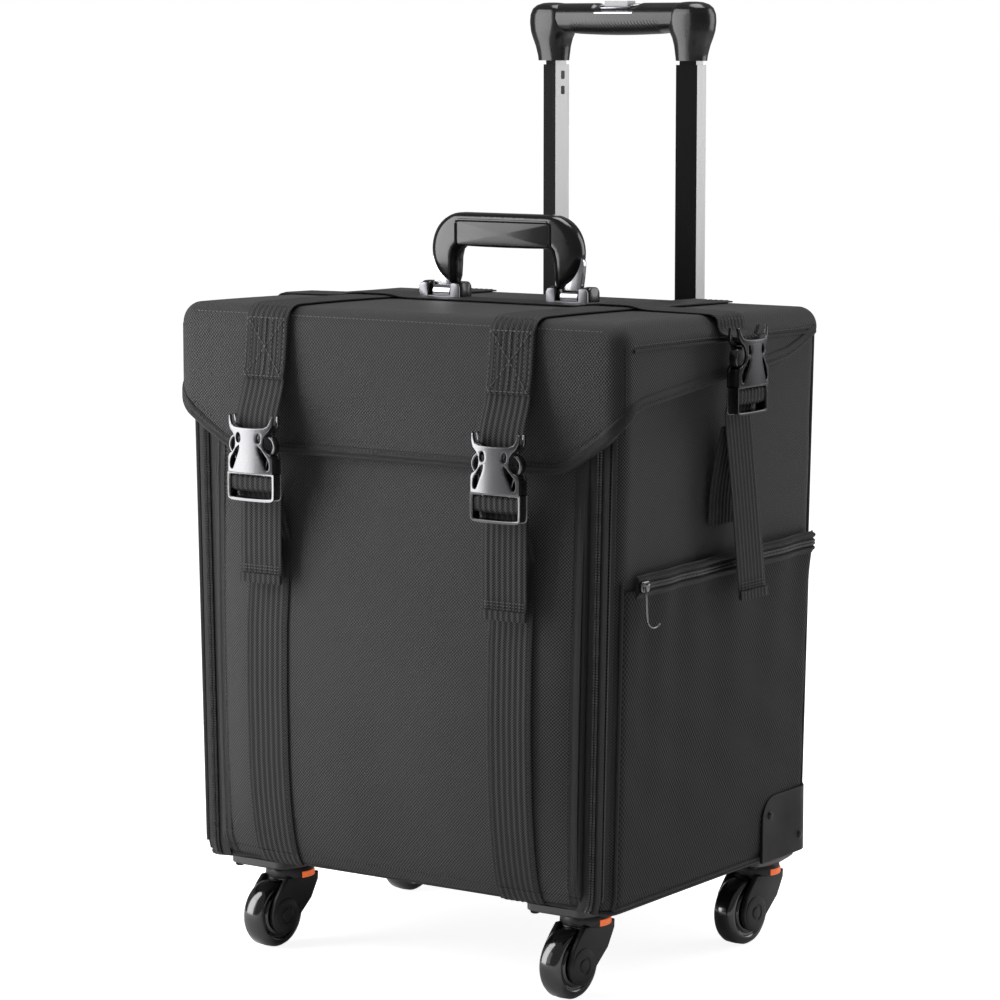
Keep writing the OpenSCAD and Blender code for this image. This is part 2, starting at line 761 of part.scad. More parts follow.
bulge_z0 = flap_z - 4;
bulge_z1 = flap_z - 124;
bulge_z2 = panel_z0 + 64;
bulge_y = panel_y - panel_bulge;
toe_y = panel_y - 0.4 * panel_bulge;
front_path = [[panel_y, panel_z1], [panel_y, bulge_z0], [bulge_y, bulge_z1], [bulge_y, bulge_z2], [toe_y, panel_z0 + 3]];

module front_panel() {
    in_frame() color("#262628") along_x(-panel_x, panel_x)
        polygon(concat(front_path, [[toe_y, panel_z0], [panel_back, panel_z0], [panel_back, panel_z1]]));
}

module front_panel_binding() {
    in_frame() color("#131314") both_sides() along_x(panel_x - binding_h, panel_x)
        band([for (i = [len(front_path) - 1:-1:1]) front_path[i] - [strap_lift, 0]], binding_t);
}

module panel_strap(x) {
    load_y = front_buckle_y + tail_y + strap_t / 2 + 0.8;
    top_z = front_buckle_z - plug_h;
    path = concat([[load_y + strap_t, top_z], [panel_y - 10 - strap_lift, top_z - 38]],
        [for (i = [2:4]) front_path[i] - [strap_lift, 0]]);
    in_frame() color("#1a1a1b") translate([x, 0, 0]) along_x(-strap_w / 2, strap_w / 2)
        band([for (i = [len(path) - 1:-1:0]) path[i]], strap_t);
}

module left_panel_strap() panel_strap(-front_strap_x);

module right_panel_strap() panel_strap(front_strap_x);

// ---- carry handle ----

module carry_outline() {
    x = carry_w / 2 - carry_end_r;
    difference() {
        both_sides() {
            translate([x, carry_top - carry_end_r]) circle(carry_end_r);
            translate([0, carry_top - carry_bar_h]) square([x, carry_bar_h]);
        }
        translate([-x - 1.5, 0]) square([2 * x + 3, carry_top - carry_bar_h]);
        translate([-far, 0]) square([2 * far, pivot_z + carry_cut]);
    }
}

module carry_grip() {
    in_frame() color("#121213") difference() {
        along_y(carry_y - carry_depth / 2, carry_y + carry_depth / 2) carry_outline();
        both_sides() box([bracket_x - arm_w / 2, carry_y - 2.5, 0], [bracket_x + arm_w / 2, carry_y + 2.5, carry_top - 30]);
    }
}

module carry_arms() {
    in_frame() color("#d0d0d3") both_sides() difference() {
        union() {
            box([bracket_x - arm_w / 2, carry_y - 2.5, pivot_z], [bracket_x + arm_w / 2, carry_y + 2.5, carry_top - 30]);
            translate([0, carry_y, pivot_z]) rod_x(bracket_x - arm_w / 2, bracket_x + arm_w / 2, arm_r);
        }
        translate([0, carry_y, pivot_z]) rod_x(0, far, carry_pin_r + run_fit);
    }
}

module handle_brackets() {
    in_frame() color("#c8c8cb") both_sides() difference() {
        along_y(carry_y - bracket_d / 2, carry_y + bracket_d / 2)
            top_round([bracket_x - bracket_w / 2, bracket_z], [bracket_x + bracket_w / 2, bracket_z + bracket_h], 4);
        box([bracket_x - bracket_slot / 2, -far, bracket_z + 1.5], [bracket_x + bracket_slot / 2, far, far * 2]);
        translate([0, carry_y, pivot_z]) rod_x(0, bracket_x + bracket_w / 2 - 2, carry_pin_r);
    }
}

module handle_pins() {
    in_frame() color("#8f8f92") both_sides() translate([0, carry_y, pivot_z])
        rod_x(bracket_x - bracket_w / 2, bracket_x + bracket_w / 2 - 2, carry_pin_r);
}

// ---- castors ----

module castor_plates() {
    in_frame() color("#1c1c1e") for (c = castors) translate([c.x, c.y, 0]) {
        difference() {
            union() {
                translate([0, 0, plate_z + 3]) linear_extrude(plate_h - 3)
                    round_rect([-plate_w / 2, plate_back - plate_l], [plate_w / 2, plate_back], 11);
                translate([0, 0, plate_z]) linear_extrude(3 + touch)
                    round_rect([-plate_w / 2 + 2, plate_back - plate_l + 2], [plate_w / 2 - 2, plate_back - 2], 10);
            }
            for (s = screw_spots) translate([s.x, s.y, 0]) cylinder(h = far, r = screw_hole_r);
        }
        translate([0, 0, crown_z + 1.5]) cylinder(h = plate_z - crown_z, r = 4);
    }
}

module castor_screws() {
    in_frame() color("#9a9a9d") for (c = castors, s = screw_spots) translate([c.x + s.x, c.y + s.y, 0]) {
        translate([0, 0, plate_z - 1.2]) cylinder(h = 1.2, r = 3.4);
        translate([0, 0, plate_z - touch]) cylinder(h = plate_h + base_t - 3, r = screw_r);
    }
}

module at_castor(i) {
    in_frame() translate([castors[i].x, castors[i].y, 0]) rotate([0, 0, castor_yaw]) children();
}

axle_spot = [-castor_trail, castor_z];
fork_disc_r = 14;
fork_in = wheel_w / 2 + 0.75;

// Side view of a fork arm: a neck from the crown to a disc round the axle.
module arm_outline() {
    a = [-crown_r * 0.35, crown_z + 2];
    b = [crown_r * 0.9, crown_z + 2];
    translate(axle_spot) circle(fork_disc_r);
    polygon([a, tangent(a, axle_spot, fork_disc_r, 1), axle_spot, tangent(b, axle_spot, fork_disc_r, -1), b]);
}

module fork() {
    color("#202022") difference() {
        union() {
            translate([0, 0, crown_z]) cylinder(h = crown_h, r = crown_r);
            both_sides() along_x(fork_in, fork_in + fork_t) arm_outline();
            translate([0, axle_spot.x, axle_spot.y]) rod_x(-fork_in - touch, fork_in + touch, axle_r);
        }
        translate([0, 0, crown_z + 1]) cylinder(h = far, r = 4 + run_fit);
    }
}

// Outline of half a wheel, from its bore to its rounded tread.
module wheel_outline() {
    r = 6;
    bore = axle_r + run_fit;
    tread = wheel_d / 2;
    translate([bore, -wheel_w / 2]) square([tread - r - bore, wheel_w]);
    translate([tread - r - 1, -wheel_w / 2 + r]) square([r + 1, wheel_w - 2 * r]);
    for (z = [-wheel_w / 2 + r, wheel_w / 2 - r]) intersection() {
        translate([tread - r, z]) circle(r);
        translate([tread - r, -far]) square([far, 2 * far]);
    }
}

module wheel() {
    color("#101011") translate([0, axle_spot.x, axle_spot.y]) rotate([0, 90, 0]) rotate_extrude() wheel_outline();
}

module fork_front_left() at_castor(0) fork();

module wheel_front_left() at_castor(0) wheel();

module fork_front_right() at_castor(1) fork();

module wheel_front_right() at_castor(1) wheel();

module fork_rear_left() at_castor(2) fork();

module wheel_rear_left() at_castor(2) wheel();

module fork_rear_right() at_castor(3) fork();

module wheel_rear_right() at_castor(3) wheel();

base_board();
back_panel();
left_side_panel();
right_side_panel();
left_front_rim();
right_front_rim();
hinge_cord();
front_zip_tapes();
left_pocket();
right_pocket();
left_pocket_zip();
right_pocket_zip();
left_corner_guard();
right_corner_guard();
guard_rivets();
outer_tubes();
trolley_bracket();
trolley_foot();
castor_plates();
castor_screws();
side_anchor_straps();
lid_cover();
lid_binding();
left_lid_strap();
right_lid_strap();
cross_strap();
front_sockets();
side_sockets();
handle_brackets();
handle_pins();
front_panel();
front_panel_binding();
left_panel_strap();
right_panel_strap();
front_left_plug();
front_left_tail();
front_right_plug();
front_right_tail();
side_left_plug();
side_left_tail();
side_right_plug();
side_right_tail();
carry_grip();
carry_arms();
mid_tubes();
inner_tubes();
trolley_grip();
trolley_button();
left_pocket_slider();
right_pocket_slider();
left_front_slider();
right_front_slider();
fork_front_left();
wheel_front_left();
fork_front_right();
wheel_front_right();
fork_rear_left();
wheel_rear_left();
fork_rear_right();
wheel_rear_right();
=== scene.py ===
"""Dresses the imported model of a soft-sided rolling case: cloth, webbing, buckles, handles and castors."""
import math

import bmesh
import bpy
import numpy as np
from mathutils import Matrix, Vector


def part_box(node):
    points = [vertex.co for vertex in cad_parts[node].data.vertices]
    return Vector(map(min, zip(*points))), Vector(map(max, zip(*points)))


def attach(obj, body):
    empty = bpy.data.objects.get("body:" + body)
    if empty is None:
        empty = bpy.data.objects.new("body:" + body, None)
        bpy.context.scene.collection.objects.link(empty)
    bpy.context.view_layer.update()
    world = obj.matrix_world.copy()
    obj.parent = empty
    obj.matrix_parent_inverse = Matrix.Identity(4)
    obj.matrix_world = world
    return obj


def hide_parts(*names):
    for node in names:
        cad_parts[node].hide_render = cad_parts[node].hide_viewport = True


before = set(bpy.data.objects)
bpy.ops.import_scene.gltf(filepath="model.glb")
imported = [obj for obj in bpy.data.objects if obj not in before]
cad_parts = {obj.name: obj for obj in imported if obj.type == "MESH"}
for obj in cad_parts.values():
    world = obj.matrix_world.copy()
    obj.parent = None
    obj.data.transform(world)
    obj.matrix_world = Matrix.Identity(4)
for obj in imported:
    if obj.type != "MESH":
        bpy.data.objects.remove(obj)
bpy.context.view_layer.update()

MM = 0.001
base_lo, base_hi = (np.array(corner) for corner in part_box("base_board"))
SHIFT = float(base_lo[1] + base_hi[1]) / 2 / MM

# Sizes shared by the pieces, in millimetres in the case's own frame.
BODY_X, BODY_Y, BODY_R = 186.0, 135.0, 14.0
BASE_Z, RIM_Z = 67.0, 463.0
BOTTOM_X, TOP_X, OPENING_X = 178.5, 187.0, 174.0
WALL = 8.0
LID_X, LID_FRONT, LID_BACK, LID_HALF = 192.5, -144.0, 130.5, 137
LID_TOP, LID_R, FLAP = 473.0, 14.0, 4.6
PANEL_X, PANEL_BACK, PANEL_LOW = 161.5, -128.0, 80.4
STRAP_X, STRAP_W, STRAP_T, THREAD_R = 105.5, 37.0, 2.0, 0.38
CROSS_Y = -4.0
ALONG_X, ALONG_Y, UP, AHEAD = (1.0, 0, 0), (0, 1.0, 0), (0, 0, 1.0), (0, -1.0, 0)


# ---- camera, light and stage ----

# Each lamp: its place in metres, width and height of its face, and its power in watts.
LAMPS = {"key": ((-0.6, -0.55, 0.5), 0.45, 1.2, 6.3), "front": ((-2.15, -2.5, 1.15), 2.1, 2.1, 8.5),
         "top": ((0.1, 0.4, 2.9), 1.8, 1.8, 42), "back": ((1.0, 1.45, 0.9), 0.7, 1.2, 4.9)}


def make_camera():
    """Long lens a little above the floor, on the case's front right, looking at the case's middle."""
    azimuth, elevation, distance = math.radians(34.3), math.radians(7.3), 2.6366
    middle = Vector((0, (SHIFT - 7) * MM, 0.3316))
    data = bpy.data.cameras.new("camera")
    data.lens, data.sensor_width, data.clip_end = 129.3, 36.0, 50.0
    cam = bpy.data.objects.new("camera", data)
    level = math.cos(elevation)
    back = Vector((math.sin(azimuth) * level, -math.cos(azimuth) * level, math.sin(elevation)))
    cam.location = middle + back * distance
    cam.rotation_euler = back.to_track_quat("Z", "Y").to_euler()
    bpy.context.scene.collection.objects.link(cam)
    bpy.context.scene.camera = cam


make_camera()
scene = bpy.context.scene
scene.view_settings.view_transform = "Standard"


def linear(text):
    """sRGB hex to linear RGBA."""
    c = np.array([int(text[i:i + 2], 16) for i in (1, 3, 5)]) / 255
    c = np.where(c <= 0.04045, c / 12.92, ((c + 0.055) / 1.055) ** 2.4)
    return (*c.tolist(), 1.0)


def node(tree, kind, settings=None, **inputs):
    """Adds a shader node. settings are properties; inputs are socket values or links, named or i0, i1."""
    n = tree.nodes.new(kind)
    for key, value in (settings or {}).items():
        setattr(n, key, value)
    for key, value in inputs.items():
        numbered = key[0] == "i" and key[1:].isdigit()
        socket = n.inputs[int(key[1:]) if numbered else key.replace("_", " ")]
        if isinstance(value, bpy.types.NodeSocket):
            tree.links.new(value, socket)
        else:
            socket.default_value = value
    return n


def calc(tree, operation, *values, **settings):
    """Output of a math node on numbers or links."""
    inputs = {f"i{k}": value for k, value in enumerate(values)}
    return node(tree, "ShaderNodeMath", {"operation": operation, **settings}, **inputs).outputs[0]


def mix_colors(tree, factor, first, second):
    """Output of a mix of two colours, each a value or a link."""
    return node(tree, "ShaderNodeMix", {"data_type": "RGBA"}, Factor=factor, i6=first, i7=second).outputs[2]


def shaded(color, share):
    """A linear colour times a share, at most 1."""
    return tuple(min(1.0, c * share) for c in color[:3]) + (1.0,)


def bump(tree, bsdf, height, strength, depth):
    """Bumps the shader's normal by a height, depth in mm."""
    raised = node(tree, "ShaderNodeBump", Height=height, Strength=strength, Distance=depth * MM)
    tree.links.new(raised.outputs[0], bsdf.inputs["Normal"])


def empty_tree(owner):
    """Switches on an owner's shader nodes and gives its tree, cleared."""
    owner.use_nodes = True
    owner.node_tree.nodes.clear()
    return owner.node_tree


def start_material(name, **shader):
    """A new material with a Principled shader: returns (material, tree, shader node)."""
    mat = bpy.data.materials.new(name)
    tree = empty_tree(mat)
    bsdf = node(tree, "ShaderNodeBsdfPrincipled", **shader)
    node(tree, "ShaderNodeOutputMaterial", Surface=bsdf.outputs[0])
    return mat, tree, bsdf


def set_stage():
    """White floor and world, white to the camera but dimmer to the case, and soft lights aimed at it."""
    world = bpy.data.worlds.new("studio")
    scene.world = world
    tree = empty_tree(world)
    path = node(tree, "ShaderNodeLightPath").outputs
    seen = calc(tree, "MAXIMUM", path["Is Camera Ray"], path["Is Transmission Ray"])
    strength = node(tree, "ShaderNodeMapRange", Value=seen, To_Min=0.16, To_Max=1.0)
    sky = node(tree, "ShaderNodeBackground", Color=linear("#FFFFFF"), Strength=strength.outputs[0])
    node(tree, "ShaderNodeOutputWorld", Surface=sky.outputs[0])

    mat = bpy.data.materials.new("white paper sweep")
    tree = empty_tree(mat)
    path = node(tree, "ShaderNodeLightPath").outputs
    matte = node(tree, "ShaderNodeBsdfDiffuse", Color=linear("#F2F2F2")).outputs[0]
    glow = node(tree, "ShaderNodeEmission", Color=linear("#FFFFFF"), Strength=0.88).outputs[0]
    lit = node(tree, "ShaderNodeAddShader", i0=matte, i1=glow).outputs[0]
    mix = node(tree, "ShaderNodeMixShader", Fac=path["Is Camera Ray"], i1=matte, i2=lit)
    node(tree, "ShaderNodeOutputMaterial", Surface=mix.outputs[0])
    mesh = bpy.data.meshes.new("floor")
    mesh.from_pydata([(-9, -9, 0), (9, -9, 0), (9, 9, 0), (-9, 9, 0)], [], [(0, 1, 2, 3)])
    mesh.materials.append(mat)
    floor = bpy.data.objects.new("floor", mesh)
    scene.collection.objects.link(floor)

    for name, (place, width, height, power) in LAMPS.items():
        data = bpy.data.lights.new(name, "AREA")
        data.shape, data.size, data.size_y, data.energy = "RECTANGLE", width, height, power
        lamp = bpy.data.objects.new(name, data)
        lamp.location = place
        lamp.rotation_euler = (Vector(place) - Vector((0, 0, 0.33))).to_track_quat("Z", "Y").to_euler()
        scene.collection.objects.link(lamp)


set_stage()


# ---- materials ----

def woven(name, dark, light, pitch, depth, roughness, cell=(1.0, 1.0), mottle=0.25):
    """Cloth whose yarns cross at a pitch in mm: height = sin(u) * sin(v) over the piece's UV in metres. Its
    colour runs with that height from dark in the gaps to light on the crowns, painted shade and painted
    highlight, mixed with random blotches.
    """
    mat, tree, bsdf = start_material(name, Roughness=roughness, Sheen_Weight=0.08, Sheen_Roughness=0.5,
                                     Specular_IOR_Level=0.25)
    uv = node(tree, "ShaderNodeTexCoord").outputs["UV"]
    turns = 2 * math.pi / (pitch * MM)
    scaled = node(tree, "ShaderNodeMapping", Vector=uv, Scale=(turns / cell[0], turns / cell[1], 1))
    waves = node(tree, "ShaderNodeVectorMath", {"operation": "SINE"}, i0=scaled.outputs[0])
    axes = node(tree, "ShaderNodeSeparateXYZ", Vector=waves.outputs[0])
    weave = calc(tree, "MULTIPLY", axes.outputs[0], axes.outputs[1])
    height = node(tree, "ShaderNodeMapRange", {"interpolation_type": "SMOOTHSTEP"}, Value=weave,
                  From_Min=-0.7, From_Max=0.8).outputs[0]
    place = node(tree, "ShaderNodeTexCoord").outputs["Object"]
    blotch = node(tree, "ShaderNodeTexNoise", Vector=place, Scale=9.0, Detail=3.0)
    fuzz = node(tree, "ShaderNodeTexNoise", Vector=place, Scale=900.0, Detail=2.0)
    blotch_tone = calc(tree, "MULTIPLY_ADD", blotch.outputs[0], mottle, -mottle / 2)
    # Mixing the two colours by the weave's height paints shade into the gaps between yarns and a highlight
    # onto their crowns; the blotches vary the tone at random.
    weave_shade_and_blotches = calc(tree, "ADD", height, blotch_tone, use_clamp=True)
    tree.links.new(mix_colors(tree, weave_shade_and_blotches, linear(dark), linear(light)), bsdf.inputs["Base Color"])
    bump(tree, bsdf, calc(tree, "MULTIPLY_ADD", fuzz.outputs[0], 0.25, height), 0.6, depth)
    return mat


def moulded(name, color, roughness, grain, depth, coat=0.0, metallic=0.0, level=0.5, glow=0.0):
    """Plastic or metal with a fine grain of the given size in mm, and a little wear in its roughness. glow
    makes it emit its own colour at that strength: painted light.
    """
    base = linear(color)
    mat, tree, bsdf = start_material(name, Metallic=metallic, Coat_Weight=coat, Coat_Roughness=0.12,
                                     Specular_IOR_Level=level, Emission_Color=base, Emission_Strength=glow)
    place = node(tree, "ShaderNodeTexCoord").outputs["Object"]
    fine = node(tree, "ShaderNodeTexNoise", Vector=place, Scale=1 / (grain * MM), Detail=3.0)
    wide = node(tree, "ShaderNodeTexNoise", Vector=place, Scale=26.0, Detail=4.0)
    rough = node(tree, "ShaderNodeMapRange", Value=wide.outputs[0], From_Min=0.3, From_Max=0.7,
                 To_Min=roughness * 0.8, To_Max=roughness * 1.25)
    tree.links.new(rough.outputs[0], bsdf.inputs["Roughness"])
    mixed = mix_colors(tree, wide.outputs[0], shaded(base, 0.88), shaded(base, 1.1))
    tree.links.new(mixed, bsdf.inputs["Base Color"])
    bump(tree, bsdf, fine.outputs[0], 0.5, depth)
    return mat


def brushed_aluminium(name, color, front=None):
    """Anodised aluminium drawn along Z; front, if given, is the colour of the faces towards -Y."""
    mat, tree, bsdf = start_material(name, Metallic=0.9, Roughness=0.3)
    coord = node(tree, "ShaderNodeTexCoord")
    drawn = node(tree, "ShaderNodeMapping", Vector=coord.outputs["Object"], Scale=(2500, 2500, 12))
    lines = node(tree, "ShaderNodeTexNoise", Vector=drawn.outputs[0], Scale=1.0, Detail=3.0)
    rough = node(tree, "ShaderNodeMapRange", Value=lines.outputs[0], To_Min=0.2, To_Max=0.42)
    tree.links.new(rough.outputs[0], bsdf.inputs["Roughness"])
    bump(tree, bsdf, lines.outputs[0], 0.3, 0.02)
    base = linear(color)
    tint = mix_colors(tree, lines.outputs[0], shaded(base, 0.9), base)
    if front:
        facing = node(tree, "ShaderNodeSeparateXYZ", Vector=coord.outputs["Normal"])
        ahead = calc(tree, "LESS_THAN", facing.outputs[1], -0.6)
        tint = mix_colors(tree, ahead, tint, linear(front))
    tree.links.new(tint, bsdf.inputs["Base Color"])
    return mat


# Each woven cloth below takes its dark colour as painted shade in the weave's gaps and its light colour as a
# painted highlight on the crowns.
# Ballistic nylon: a basket weave, dull, with small yarn crowns painted lighter as highlights. Drawn at 2.4 mm
# to show from afar.
NYLON = woven("black ballistic nylon", "#0C0C0C", "#525253", 2.4, 0.45, 0.5)
# Ribbed polypropylene webbing: picks across each rib, slightly shiny.
WEBBING = woven("black polypropylene webbing", "#070707", "#434344", 1.9, 0.45, 0.42, cell=(1.22, 1.0))
# Grosgrain binding tape: fine ribs, dull.
TAPE = woven("black grosgrain binding", "#0C0C0C", "#424243", 1.2, 0.2, 0.5)
# Polyester mesh: open cells three millimetres apart or a little more.
MESH = woven("black polyester mesh", "#050505", "#343435", 3.0, 0.5, 0.6, cell=(1.0, 1.4), mottle=0.5)
# Cloth-covered board: a close plain weave.
BOARD = woven("black cloth-covered board", "#131314", "#2B2B2E", 2.0, 0.15, 0.6)
# Bonded polyester thread, a little brighter than the cloth, and a grey one for the lid and the webbing.
THREAD = moulded("black bonded thread", "#343436", 0.5, 0.4, 0.03)
THREAD_GREY = moulded("dark grey bonded thread", "#606062", 0.5, 0.4, 0.03)
# Zips: a smooth nylon coil, plated sliders at the front and darker ones on the pockets.
COIL = moulded("black nylon zip coil", "#2A2A2B", 0.24, 0.5, 0.01, level=0.8)
ZINC = moulded("plated zinc slider", "#9A9A9E", 0.22, 0.8, 0.01, metallic=1.0)
GUNMETAL = moulded("gunmetal zip slider", "#8A8A8C", 0.18, 0.6, 0.01, metallic=1.0)
# Acetal metallised grey, so that its faces mirror the studio.
ACETAL_GREY = moulded("gunmetal-finished acetal", "#868688", 0.26, 0.6, 0.01, metallic=1.0)
ACETAL_BLACK = moulded("dark gunmetal-finished acetal", "#606062", 0.24, 0.6, 0.01, metallic=1.0)
# Corner guards: polypropylene with a fine spark grain, held by blackened rivets.
GUARD = moulded("grained black polypropylene", "#17171A", 0.46, 0.7, 0.04, level=0.35)
RIVET = moulded("black oxide rivet", "#2A2A2D", 0.3, 0.5, 0.01, metallic=0.6)
# Castors: satin nylon housings, greyer dishes, orange marks with a painted glow and high-gloss polyurethane
# wheels.
NYLON6 = moulded("black moulded nylon", "#242427", 0.38, 0.8, 0.03)
DISH = moulded("dark grey moulded nylon", "#4C4C4E", 0.42, 0.6, 0.03)
# The orange marks emit 0.45 of their own colour: painted light, though they are no lamp.
ORANGE_PAINTED_GLOW = moulded("orange marker with painted glow", "#FF7840", 0.4, 0.6, 0.01, glow=0.45)
TYRE = moulded("glossy black polyurethane", "#0C0C0D", 0.1, 1.2, 0.01, coat=1.0, level=1.0)
# Handles: satin and glossy black grips, chromed arms, nickel brackets, a silver button and anodised tubes.
SOFT_GRIP = moulded("satin black grip plastic", "#18181A", 0.27, 0.5, 0.02, coat=0.4)
HANDLE_ABS = moulded("glossy black ABS", "#131314", 0.16, 0.9, 0.01, coat=0.5)
CHROME = moulded("bright chromed steel", "#D8D8DC", 0.12, 0.8, 0.005, metallic=1.0)
NICKEL = moulded("satin nickel plate", "#8C8C90", 0.3, 0.8, 0.01, metallic=1.0)
LACQUER = moulded("silver lacquered button", "#C9C9CD", 0.25, 0.6, 0.01, coat=0.4)
TUBE_BLACK = brushed_aluminium("black anodised tube", "#1A1A1C")
TUBE_BRIGHT = brushed_aluminium("satin anodised tube", "#B9B9BA", front="#434344")


# ---- mesh tools ----

def quads(n, m, wrap_n=False, wrap_m=False):
    """Faces of an n by m grid of points, closed round either way if asked."""
    i = np.arange(n if wrap_n else n - 1)[:, None]
    j = np.arange(m if wrap_m else m - 1)[None, :]
    i2, j2 = (i + 1) % n, (j + 1) % m
    return np.stack([i * m + j + 0 * i2, i2 * m + j, i2 * m + j2, i * m + j2], -1).reshape(-1, 4)


def piece(name, verts, faces, body, slot, mat, replaces=(), uv=None, sharp=40, weld=0.0, bevel=0.0):
    """One finished object from points in mm and faces, in the case's frame, riding on a body."""
    v = (np.asarray(verts, float).reshape(-1, 3) + (0, SHIFT, 0)) * MM
    mesh = bpy.data.meshes.new(name)
    mesh.from_pydata(v.tolist(), [], faces.tolist() if isinstance(faces, np.ndarray) else faces)
    if uv is not None:
        layer = mesh.uv_layers.new(name="UVMap")
        index = np.empty(len(mesh.loops), np.int32)
        mesh.loops.foreach_get("vertex_index", index)
        layer.data.foreach_set("uv", (np.asarray(uv, float).reshape(-1, 2) * MM)[index].ravel())
    bm = bmesh.new()
    bm.from_mesh(mesh)
    bmesh.ops.remove_doubles(bm, verts=bm.verts, dist=max(weld, 1e-3) * MM)
    bmesh.ops.recalc_face_normals(bm, faces=bm.faces)
    bm.to_mesh(mesh)
    bm.free()
    mesh.polygons.foreach_set("use_smooth", [True] * len(mesh.polygons))
    mesh.set_sharp_from_angle(angle=math.radians(sharp))
    mesh.materials.append(mat)
    obj = bpy.data.objects.new(name, mesh)
    scene.collection.objects.link(obj)
    if bevel:
        mod = obj.modifiers.new("edge", "BEVEL")
        mod.width, mod.segments, mod.limit_method, mod.angle_limit = bevel * MM, 2, "ANGLE", math.radians(35)
    if replaces:
        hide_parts(*replaces)
    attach(obj, body)
    return obj


def merge(name, parts, body, slot, mat, uv=False, puffed=False, **more):
    """One piece of several parts, with their UV if asked; puffed lifts their points with the lid's top."""
    v, f, flat = join(parts)
    return piece(name, puff(v) if puffed else v, f, body, slot, mat, uv=flat if uv else None, **more)


def placed(part, place):
    """A part with its points moved by place."""
    return place(part[0]), part[1], None


def join(parts):
    """Several (verts, faces, uv) as one; a part without UV takes its x and z."""
    verts, faces, uvs, start = [], [], [], 0
    for v, f, *uv in parts:
        v = np.asarray(v, float).reshape(-1, 3)
        faces += [[k + start for k in face] for face in (f.tolist() if isinstance(f, np.ndarray) else f)]
        verts.append(v)
        uvs.append(np.asarray(uv[0], float).reshape(-1, 2) if uv and uv[0] is not None else v[:, [0, 2]])
        start += len(v)
    return np.concatenate(verts), faces, np.concatenate(uvs)


def slab(front, back, uv=None):
    """Closed wall between two grids of points of the same shape (n, m, 3)."""
    n, m = front.shape[:2]
    f = quads(n, m)
    b = f[:, ::-1] + n * m
    ring = np.concatenate([np.arange(m), np.arange(2 * m - 1, n * m, m),
                           np.arange(n * m - 2, (n - 1) * m - 1, -1), np.arange((n - 2) * m, 0, -m)])
    nxt = np.roll(ring, -1)
    sides = np.stack([ring, nxt, nxt + n * m, ring + n * m], -1)
    verts = np.concatenate([front.reshape(-1, 3), back.reshape(-1, 3)])
    if uv is not None:
        uv = np.concatenate([uv.reshape(-1, 2)] * 2)
    return verts, np.concatenate([f, b, sides]), uv


def loft(rings, uv=None):
    """Closed skin over m rings of n points, with a fan at each end."""
    m, n = rings.shape[:2]
    faces = quads(m, n, wrap_m=True).tolist()
    verts = np.concatenate([rings.reshape(-1, 3), rings[:1].mean(1), rings[-1:].mean(1)])
    k = np.arange(n)
    last = (m - 1) * n
    faces += np.stack([k, np.full(n, m * n), (k + 1) % n], -1).tolist()
    faces += np.stack([last + k, last + (k + 1) % n, np.full(n, m * n + 1)], -1).tolist()
    if uv is not None:
        uv = np.concatenate([uv.reshape(-1, 2), uv.reshape(-1, 2)[:1], uv.reshape(-1, 2)[-1:]])
    return verts, faces, uv


def run_of(path):
    """Distance travelled at each point of a path."""
    return np.cumsum(np.linalg.norm(np.diff(path, axis=0, prepend=path[:1]), axis=1))


def sweep(path, normal, across, section, closed=False):
    """Section (a, b) along a path: point = path + a * normal + b * across. UV = (around, along) in mm."""
    path = np.asarray(path, float)
    m = len(path)
    normal = np.broadcast_to(np.asarray(normal, float), path.shape)
    across = np.broadcast_to(np.asarray(across, float), path.shape)
    section = np.broadcast_to(section, (m,) + np.asarray(section).shape[-2:])
    rings = path[:, None] + section[..., :1] * normal[:, None] + section[..., 1:] * across[:, None]
    around = np.cumsum(np.linalg.norm(np.diff(section, axis=1, prepend=section[:, :1]), axis=-1), 1)
    along = run_of(path)
    uv = np.stack([around, np.broadcast_to(along[:, None], around.shape)], -1)
    if closed:
        n = rings.shape[1]
        return rings.reshape(-1, 3), quads(m, n, True, True), uv.reshape(-1, 2)
    return loft(rings, uv)


def bend(points, radius, step=2.0):
    """A polyline with each corner rounded by p = (1 - t)^2 a + 2t(1 - t) corner + t^2 b, resampled evenly."""
    p = np.asarray(points, float)
    out = [p[:1]]
    t = np.linspace(0, 1, 9)[:, None]
    for a, c, b in zip(p[:-2], p[1:-1], p[2:]):
        ra = min(radius, np.linalg.norm(c - a) * 0.49)
        rb = min(radius, np.linalg.norm(b - c) * 0.49)
        start = c + (a - c) / np.linalg.norm(a - c) * ra
        end = c + (b - c) / np.linalg.norm(b - c) * rb
        out.append((1 - t) ** 2 * start + 2 * t * (1 - t) * c + t ** 2 * end)
    out.append(p[-1:])
    q = np.concatenate(out)
    s = run_of(q)
    even = np.linspace(0, s[-1], max(3, int(s[-1] / step) + 1))
    return np.stack([np.interp(even, s, q[:, k]) for k in range(q.shape[1])], 1)


def tangents(path, closed=False):
    """Unit direction of travel at each point of a path."""
    if closed:
        d = np.roll(path, -1, 0) - np.roll(path, 1, 0)
    else:
        d = np.gradient(path, axis=0)
    return d / np.maximum(np.linalg.norm(d, axis=1, keepdims=True), 1e-9)


def sideways(plan):
    """Unit normal at each point of a plan, to the right of its direction of travel."""
    d = tangents(plan)
    return np.stack([d[:, 1], -d[:, 0]], -1)


def disc(radius, sides):
    """Round section of the given radius."""
    a = np.arange(sides) * 2 * math.pi / sides
    return np.stack([radius * np.cos(a), radius * np.sin(a)], -1)


def squarish(sides, power):
    """Section between a disc and a square: (cos a, sin a), each raised to a power with its sign kept."""
    a = np.arange(sides) * 2 * math.pi / sides
    return np.stack([np.sign(c) * np.abs(c) ** power for c in (np.cos(a), np.sin(a))], -1)


